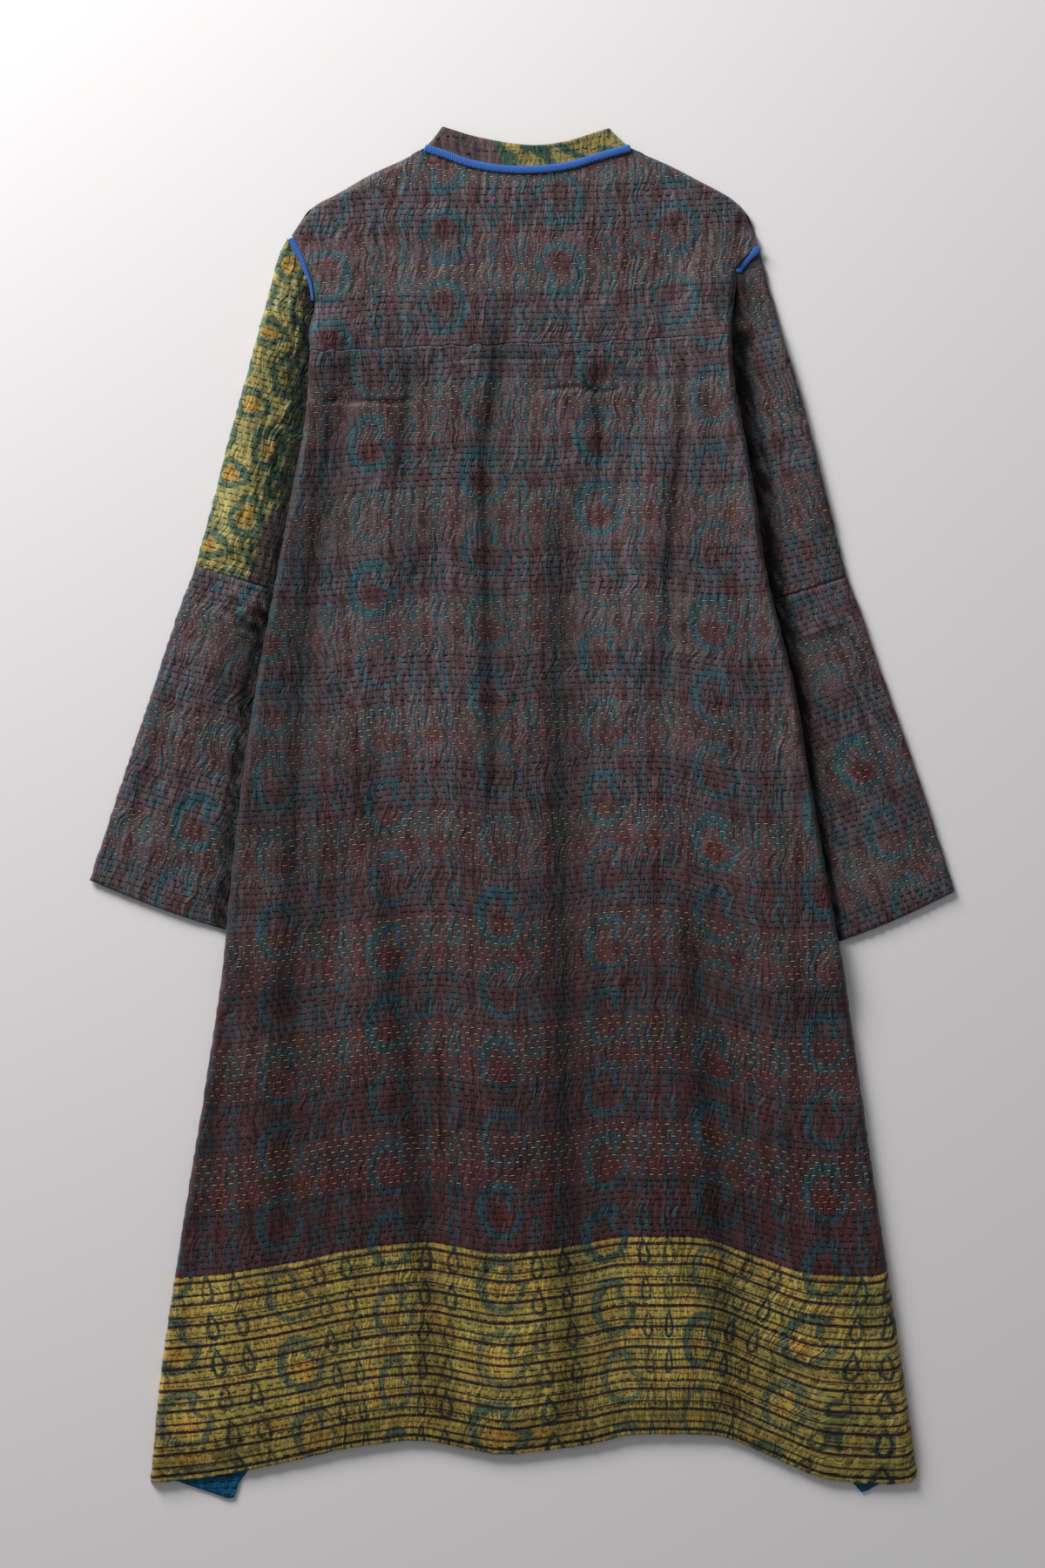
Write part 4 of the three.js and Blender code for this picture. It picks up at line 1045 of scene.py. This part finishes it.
# Folds: height, width, fade, then points along the line
FOLDS = [
    (-3.8, 12, 60, [(-155, 965), (-168, 893), (-184, 780), (-193, 700), (-208, 231)]),
    (-4.3, 8, 70, [(-19, 978), (-31, 908), (-29, 816), (-23, 624)]),
    (-4.4, 13, 90, [(38, 816), (38, 616), (48, 60)]),
    (-4.0, 12, 80, [(154, 462), (177, 231), (192, 46)]),
    (-4.0, 11, 80, [(-127, 593), (-85, 231), (-69, 46)]),
    (-3.4, 7, 30, [(-100, 970), (-104, 893)]),
    (-3.4, 7, 30, [(69, 970), (71, 908)]),
    (-3.2, 7, 60, [(142, 955), (127, 724)]),
    (3.4, 24, 90, [(-110, 700), (-120, 540), (-150, 400)]),
    (3, 26, 90, [(-70, 640), (-40, 380), (-46, 200)]),
    (4, 24, 70, [(-10, 200), (-8, 20)]),
    (4, 28, 80, [(112, 300), (130, 30)]),
    (3, 24, 90, [(90, 800), (100, 500)]),
    (3, 22, 90, [(-228, 500), (-262, 80)]),
    (2.6, 26, 90, [(215, 520), (268, 80)]),
]
# Tucks: depth, width, from x, to x, y
TUCKS = [
    (1.8, 2.4, -169, -103, 954), (0.7, 3.0, 90, 176, 973), (1.7, 2.4, 28, 78, 964), (0.9, 2.0, -60, 60, 992),
]
LOFT = 4.5  # how far air holds up the middle of the back
BACK_TOP, BACK_UNDERSIDE = 4.6, 2.4  # height of both faces of the back over what it lies on, without loft
SIDE_WALL, SHOULDER_WALL, TURNED = 2.2, 2.53, 9  # the underside is drawn in by these, over this reach
SCALLOP = 0.5  # how far the sides and the hem of the back waver
BACK_COLUMNS, BACK_ROWS = 272, 312
# Places across the cloth, and the x where each lies at the hem and at the waist
PRINT_COLUMNS = [
    (-344, -360, -373), (-196, -213, -228), (-98, -115.5, -132), (0, -17, -32), (98, 75, 69),
    (196, 172.5, 168), (294, 269.5, 266), (396, 370, 368),
]
BORDER = 181  # how far up the cloth its woven border reaches
cloth_at, hem_at, waist_at = np.array(PRINT_COLUMNS, float).T


def line_of(curve, start, end, count, upright=True):
    """Points along a curve, which gives x from y where the line is upright, and y from x where not."""
    steps = np.linspace(start, end, count)
    return np.stack([curve(steps), steps] if upright else [steps, curve(steps)], 1)


side_lines = [
    np.concatenate([line_of(body_left, -1, 1016, 40), [(-183, 1040)]]),
    np.concatenate([line_of(body_right, -1, 1016, 40), [(188.5, 1070)]]),
]
shoulder_lines = [
    line_of(top_edge, start, end, 12, upright=False)
    for start, end in ((SHOULDER_LEFT, NECK_LEFT - 12), (NECK_RIGHT + 12, SHOULDER_RIGHT))
]
neck_line = line_of(top_edge, NECK_LEFT, NECK_RIGHT, 24, upright=False)
armhole_lines = [line_of(follow(YOKE_EDGES, column), 1040, SHOULDER_END, 8) for column in (1, 2)]


def nearest(lines, x, y):
    """Distance to the nearest of some lines."""
    return np.minimum.reduce([distance_to(line, x, y) for line in lines])


def fold_shares(x, y, spread=1.0):
    """For each fold its height, and the share of it at each point: a bell across it, faded at both ends."""
    for height, width, fade, line in FOLDS:
        points = sorted((py, px) for px, py in line)
        along = smooth((y - points[0][0] + fade) / fade) * smooth((points[-1][0] + fade - y) / fade)
        yield height, along * np.exp(-(((x - follow(points)(y)) / width / spread) ** 2))


def back_painted_shade(x, y):
    """Share of painted shade on the back: in its long folds, under the yoke's seam and at its left edge.

    On raised folds it is painted a little lighter instead.
    """
    # painted shade in the fold dips and painted light on the raised folds
    painted_shade = sum(share * (0.1 if height < 0 else 0.055) * -height for height, share in fold_shares(x, y, 1.7))
    band = 0.14 * np.exp(-(((y - seam(x) + 14) / 22) ** 2))
    band = band * (1 + 1.2 * noise(x, y, (30, 9), 92))
    edge = 0.3 * (1 - smooth((x - body_left(y)) / 60)) * smooth((980 - y) / 160) * smooth((y - 190) / 60)
    return np.clip(painted_shade + edge + band, -0.2, 0.55)


def back_loft(x, y):
    """How far air holds the back up, with its folds and tucks, and more at the sides.

    It falls to 1.2 mm at the hem, 3 mm at the neck and 0.5 mm at the armholes, most steeply beside the
    upper part of the right one.
    """
    free = np.full(np.shape(x), LOFT)
    for height, share in fold_shares(x, y):
        free += height * share
    for depth, width, start, end, level in TUCKS:
        along = smooth((x - start) / 12 + 1) * smooth((end - x) / 12 + 1)
        wavy = level + 2.5 * noise(x, y * 0, (23, 1), 71)
        free -= depth * along * np.exp(-(((y - wavy) / width) ** 2))
    free = np.clip(free, 0.2, 10)
    roll = 4 * smooth(x / 60) * smooth((y - 520) / 90) * smooth((1064 - y) / 60)
    free = mix(6 + roll, free, smooth(nearest(side_lines, x, y) / 26))
    free = mix(1.2, free, smooth((y - hem(x)) / 34))
    free = mix(3, free, smooth(distance_to(neck_line, x, y) / 30))
    free = mix(0.5, free, smooth(nearest(armhole_lines, x, y) / 34))
    drop = smooth((x - 190) / 6 + 0.5) * smooth((y - 1066) / 8) * smooth((1118 - y) / 12)
    return free - np.minimum(free - 0.5, 3) * drop


def back_cloth(x, y):
    """Places on the cloth of the lower back: across by the print's columns, along from hem to seam.

    Within the border the columns lean with the hem, by its slope over 140 mm.
    """
    left, right = body_left(y), body_right(y)
    u = (x - left) / (right - left)
    low, high = hem(mix(HEM_LEFT, HEM_RIGHT, u)), seam(mix(SEAM_LEFT, SEAM_RIGHT, u))
    waist = smooth((y - 500) / 350)
    across = mix(np.interp(x, hem_at, cloth_at), np.interp(x, waist_at, cloth_at), waist)
    along = 1000 * (y - low) / (high - low)
    lean = (hem(x + 70) - hem(x - 70)) / 140
    return across - lean * np.maximum(BORDER - along, 0), along


def yoke_cloth(x, y):
    """Places on the cloth of the yoke, which is cut the other way up."""
    return -(x - 31) * 98 / 102.5, 219 - (y - seam(x) - 65.5) * 1.07


BACK_SEED, YOKE_SEED = 300, 340
back_grid = grid_on(back_cloth, BACK_SEED, 0, STITCH_ROW / 5.7)
yoke_grid = grid_on(yoke_cloth, YOKE_SEED, -226.2, 1 / 1.07)


def back_top(x, y, cloth, seed):
    """Top of the back: its loft, falling to nothing as a quarter circle at the turned sides and shoulders."""
    turned = nearest(side_lines + shoulder_lines, x, y)
    height = lift(x, y) + (BACK_TOP + back_loft(x, y)) * rounded(turned, 6)
    return height + ripples(*cloth(x, y), seed) * rounded(turned, TURNED)


def lowest(values):
    """For each point of the coarse grid, the least value within one coarse step."""
    window = (2 * EVERY + 1, 2 * EVERY + 1)
    around = np.lib.stride_tricks.sliding_window_view(np.pad(values, EVERY, mode="edge"), window)
    return around.min((2, 3))[::EVERY, ::EVERY]


def back_panel(name, threads_name, plan, u, v, cloth, grid, seed, material, threads, edges):
    """A panel of the back: top surface with a thin wall, whose turned edges are brought in below.

    The sides and the hem waver where the stitches pull at them. The stitches lie on the top surface.
    """
    u, v = np.meshgrid(u, v)
    x, y = plan(u, v)
    cut = nearest(edges, x, y)
    z = back_top(x, y, cloth, seed) - 0.25 * (1 - rounded(cut, 1.0))
    moved = SCALLOP * noise(y, x * 0, (5.2, 1), seed + 7) * near_ends(u, 1 / 90) * (y < 1060)
    dropped = SCALLOP * noise(x, y * 0, (5.6, 1), seed + 8) * np.exp(-v * 120) * (y < 60)
    outer = np.stack([x + moved, y + dropped, z], -1)
    low_loft = lowest(back_loft(x, y))
    x, y = x[::EVERY, ::EVERY], y[::EVERY, ::EVERY]
    turned = nearest(side_lines + shoulder_lines, x, y)
    z = lift(x, y) + (BACK_UNDERSIDE + low_loft) * rounded(turned - SIDE_WALL, 4.8)
    corners = [[(end, SHOULDER_END), (end, SHOULDER_END + 0.1)] for end in (SHOULDER_LEFT, SHOULDER_RIGHT)]
    to_sides = nearest(side_lines + corners, x, y)
    x = x - np.sign(x) * SIDE_WALL * (1 - np.clip(to_sides / TURNED, 0, 1))
    y = y - SHOULDER_WALL * (1 - np.clip(nearest(shoulder_lines, x, y) / TURNED, 0, 1))
    inner = np.stack([x, y, z], -1)
    piece = shell_piece(f"{name}_silk", outer, inner, material, cloth, grid, back_painted_shade)
    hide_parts(name)
    outline = outline_of(plan)
    stitching = running_stitches(
        threads_name, outline, grid, lambda x, y: back_top(x, y, cloth, seed), threads, seed, back_painted_shade)


def seam_boundary(t, below=SEAM):
    """Boundary along the yoke's seam, which wavers a little."""
    x = mix(SEAM_LEFT, SEAM_RIGHT, t)
    return np.array([x, seam(x) - below + 1.3 * noise(x, x * 0, (8, 1), 72)])


STRIPE_PITCH = 18.95  # from one pair of dark stripes in the border to the next
BORDER_GOLD, BORDER_RUST, BORDER_GREEN = tone(176, 157, 80), tone(198, 132, 48), tone(72, 96, 62)
RING_GREEN, DROP_GREEN, SPECKLE = tone(46, 86, 78), tone(24, 58, 56), tone(66, 58, 36)
STRIPE_DARK, THICK_HALF, THIN_HALF = tone(48, 27, 32), 1.4, 0.95  # and half the widths of its stripes


def back_dye(tree, cloth, weft):
    """The maroon print, which above the hem changes to a gold border with pairs of dark stripes.

    The maroon deepens from the waist down. The gold turns rusty in the spots and green in patches.
    """
    across, along = fields(tree, cloth, 1 / MM)
    deeper = (along * -1 + 740).math("MULTIPLY", 1 / 480, clamp=True) * 0.9
    ground = printed(tree, cloth, weft, dyed(MAUVE, MAROON, deeper), deeper * 0.5)
    figures = add_group(tree, MOTIFS, cloth)
    rust = figures["Spot"] * 0.55 + grain(across, along, 34, 26, 46.0) * 1.6 - 0.04
    gold = dyed(BORDER_GOLD, BORDER_RUST, (weft * 0.35 + rust).clamped())
    green = grain(across, along, 40, 36, 44.0) * 1.6 + grain(across, along, 7, 5, 45.0) * 1.2
    gold = dyed(gold, BORDER_GREEN, (green + (across / 2400 + 0.1)).clamped())
    gold = dyed(gold, RING_GREEN, figures["Ring"] * 0.9)
    gold = dyed(gold, DROP_GREEN, figures["Drop"])
    speckle = (grain(across, along, 1.5, 2.6, 47.0) * 2.4 - 0.1).clamped() * 0.8
    gold = dyed(gold, SPECKLE, speckle)
    wobble = grain(across, along, 34, 20, 41.0) * 2.4 + grain(across, along, 5, 5, 42.0) * 0.8
    below = along * -1 + wobble + BORDER
    repeat = below / STRIPE_PITCH
    repeat = (repeat - repeat.floor()) * STRIPE_PITCH
    thick = stroke(repeat - 5.6, THICK_HALF, 0.7)
    thin = stroke(repeat - 17.2, THIN_HALF, 0.7)
    worn = grain(across, along, 6, 2, 43.0) * 0.8 + 1.0
    striped = dyed(gold, STRIPE_DARK, (thick.math("MAXIMUM", thin * 0.9) * worn).clamped())
    return dyed(ground, striped, filled(below, 1.2))


BACK_SILK = quilted_silk("bordered silk", back_dye)
BORDER_THREAD = tone(88, 78, 46)


def back_threads(row, x, y):
    """Banded threads above the border. In the border every fourth row is dark, and the others match it."""
    _, along = back_cloth(x, y)
    plain = np.where((row % 4 == 1)[:, None], DARK_THREAD, BORDER_THREAD)
    above = np.where((along < BORDER + 26)[:, None], DARK_THREAD, banded_threads(row, x, y))
    return np.where((along < BORDER)[:, None], plain, above)


hem_boundary = end_boundary(hem, HEM_LEFT, HEM_RIGHT)
back_plan = patch(hem_boundary, seam_boundary, side_boundary(body_left, HEM[0][1], YOKE_SEAM[0][1] - SEAM),
                  side_boundary(body_right, HEM[-1][1], YOKE_SEAM[-1][1] - SEAM))
hem_line = hem_boundary(np.linspace(0, 1, 60)).T
seam_line = seam_boundary(np.linspace(0, 1, 30)).T
across_places = places(BACK_COLUMNS, lambda u: 1 - 0.65 * near_ends(u, 0.02))
up_places = places(BACK_ROWS, lambda v: mix(1.0, 0.45, smooth((v - 0.9) / 0.03)) - 0.88 * np.exp(-v / 0.003))
back_panel("back_body", "back_threads", back_plan, across_places, up_places, back_cloth, back_grid, BACK_SEED,
           BACK_SILK, back_threads, [hem_line, seam_line])


# Yoke
# The upper back is cut the other way up from the same printed silk. The lower back's top edge is
# turned under its seam, its shoulders are folds into the fronts, and it carries the neck and collar.
YOKE_COLUMNS, YOKE_ROWS = 216, 92
yoke_left, yoke_right = follow(YOKE_EDGES, 1), follow(YOKE_EDGES, 2)
yoke_plan = patch(lambda t: seam_boundary(t, 0), end_boundary(top_edge, SHOULDER_LEFT, SHOULDER_RIGHT),
                  side_boundary(yoke_left, YOKE_SEAM[0][1], SHOULDER_END),
                  side_boundary(yoke_right, YOKE_SEAM[-1][1], SHOULDER_END))
across_places = places(YOKE_COLUMNS, lambda u: 1 - 0.6 * near_ends(u, 0.03))
up_places = places(YOKE_ROWS, lambda v: 1 - 0.5 * near_ends(v, 0.04))
back_panel("back_yoke", "yoke_threads", yoke_plan, across_places, up_places, yoke_cloth, yoke_grid, YOKE_SEED,
           MAROON_SILK, banded_threads, [seam_line, neck_line])


# Collar
# A low stand of one strip, folded round at both ends of the neck so that its back half shows. It is
# pieced: the left third is maroon silk and the rest is olive silk.
COLLAR_TOP = [(-71, 1196.5), (-39, 1187), (6, 1180), (37, 1183), (67, 1192), (77, 1195)]
collar_top = follow(COLLAR_TOP)
COLLAR_MIDDLE, COLLAR_HALF = 3.8, 2.8  # height of the middle of its two layers, and half their distance


def collar_surface(s, w, grow):
    """Points of the folded strip: s runs along it, 0 to 1 over the back and beyond on the fronts; w runs up.

    Grow is 1 for its outside and -1 for its inside. The two folds are quarter circles.
    """
    inwards, reach = 1 - grow, 3 + grow
    left = mix(NECK_LEFT, COLLAR_TOP[0][0], w) + inwards
    right = mix(NECK_RIGHT, COLLAR_TOP[-1][0], w) - inwards
    along = np.clip(s, 0, 1)
    start = mix(left, right, along)
    t = np.maximum(np.maximum(-s, s - 1), 0)
    x = np.where(t > 0, mix(start, np.where(s < 0, -2, 2), t), start)
    fold_y = mix(back_neck(start) + 0.6, collar_top(start), w)
    y = fold_y + 6 * w * t - (FRONT_NECK_LOW - 3 * w) * np.sin(t * np.pi / 2)
    from_fold = np.where(t > 0, np.abs(x - start), np.minimum(start - left, right - start))
    way = np.where(t > 0, -1, 1)
    half = COLLAR_HALF + grow
    return np.stack([x, y, COLLAR_MIDDLE + way * half * rounded(from_fold, reach)], -1)


def collar_cloth(x, y):
    """Places on the cloth of the collar: its rows follow the neck."""
    return x + 1.0, y - back_neck(x) + 40


COLLAR_OLIVE, COLLAR_JADE, COLLAR_MAUVE = tone(140, 132, 78), tone(56, 84, 70), tone(88, 76, 78)


def collar_dye(tree, cloth, weft):
    """Olive silk printed in jade, with maroon silk to the left of a slanting join."""
    across, along = fields(tree, cloth, 1 / MM)
    slant = across + along * 0.8
    blot = grain(slant, along, 17, 22, 51.0) + grain(across, along, 3, 3, 52.0) * 0.35
    olive = dyed(COLLAR_OLIVE, GOLD, weft * 0.3)
    olive = dyed(olive, COLLAR_JADE, filled(blot, 0.09))
    dark = dyed(COLLAR_MAUVE, PLUM, (weft + grain(across, along, 9, 9, 53.0) * 2).clamped() * 0.6)
    return dyed(dark, olive, filled(across + (along - 40) * 0.42 + 15, 1.6))


COLLAR_SEED = 400
collar_grid = grid_on(collar_cloth, COLLAR_SEED, 2.2)
COLLAR_SILK = quilted_silk("collar silk", collar_dye, 0.6)
front_part = np.linspace(0, 1, 29)[1:]
middle_part = places(144, lambda u: 1 - 0.7 * near_ends(u, 0.03))
s, w = np.meshgrid(np.concatenate([-front_part[::-1], middle_part, 1 + front_part]), np.linspace(0, 1, 21))


def collar_ripples(x, y):
    """Height of the ripples of the collar, which are a little flatter than those of the back."""
    return 0.8 * ripples(*collar_cloth(x, y), COLLAR_SEED)


outer = collar_surface(s, w, 1)
on_back = (s > 0) & (s < 1)
shown = on_back * rounded(np.clip(np.minimum(s, 1 - s), 0, 1) * 170, 8)
outer[..., 2] += shown * collar_ripples(outer[..., 0], outer[..., 1])
outer[..., 2] -= 0.7 * (1 - rounded(np.minimum(w, 1 - w) * 26, 1.6)) * on_back
inner = collar_surface(s[::EVERY, ::EVERY], w[::EVERY, ::EVERY], -1)
collar = shell_piece("collar_silk", outer, inner, COLLAR_SILK, collar_cloth, collar_grid)
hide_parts("collar")
t = np.linspace(0, 1, 40)
low, high = mix(-84, 93, t), mix(-69.5, 75.5, t)
collar_outline = np.concatenate([
    np.stack([low, back_neck(low) + 6.5], 1), np.stack([high, collar_top(high)], 1)[::-1]])
collar_stitches = running_stitches(
    "collar_threads", collar_outline, collar_grid,
    lambda x, y: COLLAR_MIDDLE + COLLAR_HALF + 1 + collar_ripples(x, y), dark_threads, COLLAR_SEED)


# Pipings
# A ribbed cobalt cord is whipped over the neck seam, and shorter lengths of it over the armhole seams.
CORD_WIDTH, RIB, SEWN_EVERY = 7.2, 1.8, 4.2  # of the cord, from rib to rib, and from stitch to stitch
COBALT, DARK_COBALT = tone(44, 106, 192), tone(14, 34, 80)


def cobalt_cord():
    """Finish of the cord: painted shade in the hollows between its ribs, a speckle, and the marks of its
    sewing.
    """
    material, tree, shader = new_finish("cobalt cord", {"Roughness": 0.7, "Sheen Weight": 0.12})
    along, around = fields(tree, carried(tree, "cloth"), 1 / MM)
    turns = (along + around * 0.25) / RIB
    between = (turns - turns.floor() - 0.5).size() * 2
    speckle = grain(along, around, 0.7, 0.5, 61.0) + grain(along, around, 6, 9, 62.0) * 0.6
    stitches = along / SEWN_EVERY
    sewn = stroke((stitches - stitches.floor() - 0.5) * SEWN_EVERY, 0.6, 0.5) * stroke(around - 1.9, 0.8, 0.6)
    # painted shade in the hollows between the ribs, together with the speckle and the sewing marks
    dark = (between * 0.7 - 0.25 + speckle * 0.6).math("MAXIMUM", sewn * 0.85).clamped()
    tree.links.new(dyed(COBALT, DARK_COBALT, dark), shader.inputs["Base Color"])
    bumped(shader, (between * between * between) * -0.35 + speckle * 0.15)
    return material


COBALT_CORD = cobalt_cord()


def cord_piece(name, path, middle, height, width):
    """A cord along a path: ellipses swollen between ribs, with rounded ends. Width may change along it."""
    step = np.hypot(*np.diff(path, axis=0).T)
    length = np.concatenate([[0], np.cumsum(step)])
    samples = np.linspace(0, length[-1], int(length[-1] / RIB * 8) + 1)
    x, y = (np.interp(samples, length, path[:, i]) for i in (0, 1))
    way = np.stack([np.gradient(x), np.gradient(y)], 1)
    way /= np.hypot(*way.T)[:, None]
    turn = np.linspace(0, 2 * np.pi, 15)[:-1]
    ends = rounded(np.minimum(samples, samples[-1] - samples), 1.5)
    rib = 1 - 0.09 * np.abs(np.cos(np.pi * samples / RIB)) ** 3
    half = width(samples / samples[-1]) / 2
    across = (half * rib * ends)[:, None] * np.cos(turn)
    up = middle + (height / 2 * rib * ends)[:, None] * np.sin(turn)
    px = x[:, None] + way[:, 1:] * across
    py = y[:, None] - way[:, :1] * across
    points = np.stack([px, py, up], -1)
    n, around = up.shape
    numbers = np.arange(n * around).reshape(n, around)
    rings = np.concatenate([numbers, numbers[:, :1]], 1)
    faces = [grid_quads(rings), numbers[0][None, ::-1], numbers[-1][None]]
    place = np.stack(np.broadcast_arrays(samples[:, None], turn * 3), -1).reshape(-1, 2)
    return new_piece(f"{name}_cord", points.reshape(-1, 3), faces, COBALT_CORD, {"cloth": place * MM})


neck_path = line_of(back_neck, NECK_LEFT + 0.5, NECK_RIGHT - 0.5, 120, upright=False) + [0, 0.3]
# Each cord: its path, height of its middle, its height from below to above, and its width along it
cords = {"neck_piping": (neck_path, 9.1, 2.4, lambda t: CORD_WIDTH + 0 * t)}
for side, edge, high_y, low_y in ((-1, yoke_left, 1099, 1042), (1, yoke_right, 1091, 1068)):
    path = line_of(edge, high_y, low_y, 40)
    way = np.gradient(path, axis=0)
    way /= np.hypot(*way.T)[:, None]
    path += np.stack([way[:, 1], -way[:, 0]], 1) * -side * 2.4
    name = "armhole_piping_left" if side < 0 else "armhole_piping_right"
    taper = 0.62 if side < 0 else 0  # the left one thins out down the armhole
    cords[name] = (path, 6.4, 1.8, lambda t, taper=taper: 0.9 * CORD_WIDTH * (1 - taper * t))
for name, (path, middle, height, width) in cords.items():
    cord = cord_piece(name, path, middle, height, width)
    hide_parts(name)


# Table, light and camera
# The coat lies on a plain pale surface under one large soft lamp from its upper left.
bpy.ops.mesh.primitive_plane_add(size=6, location=(0, 0, -0.0003))
table = bpy.context.object
table.name = "table"
pale_surface, _, _ = new_finish("pale surface", {"Base Color": tone(246, 243, 243), "Roughness": 0.9})
table.data.materials.append(pale_surface)

LAMP, AIMED_AT = (-1.6, 2.4, 1.35), (0.1, -0.1, 0.0)
light = bpy.data.lights.new("key", "AREA")
light.size, light.energy, light.color = 1.4, 118, (1.0, 0.99, 0.99)
holder = bpy.data.objects.new("key", light)
holder.location = LAMP
holder.rotation_euler = Vector([t - p for t, p in zip(AIMED_AT, LAMP)]).to_track_quat("-Z", "Y").to_euler()
bpy.context.scene.collection.objects.link(holder)
world = bpy.data.worlds.new("studio")
world.use_nodes = True
world.node_tree.nodes["Background"].inputs["Color"].default_value = (0.95, 0.97, 1.0, 1.0)
world.node_tree.nodes["Background"].inputs["Strength"].default_value = 0.2
bpy.context.scene.world = world
bpy.context.scene.view_settings.view_transform = "Standard"

HEIGHT, SHOWN = 4.2, 1.386  # of the camera above the coat, and of the field it sees
camera_data = bpy.data.cameras.new("above")
camera_data.sensor_fit = "VERTICAL"
camera_data.sensor_height = 36
camera_data.lens = 36 * HEIGHT / SHOWN
camera = bpy.data.objects.new("above", camera_data)
camera.location = (CENTRE[0] * MM, 0.02475, HEIGHT)
bpy.context.scene.collection.objects.link(camera)
bpy.context.scene.camera = camera
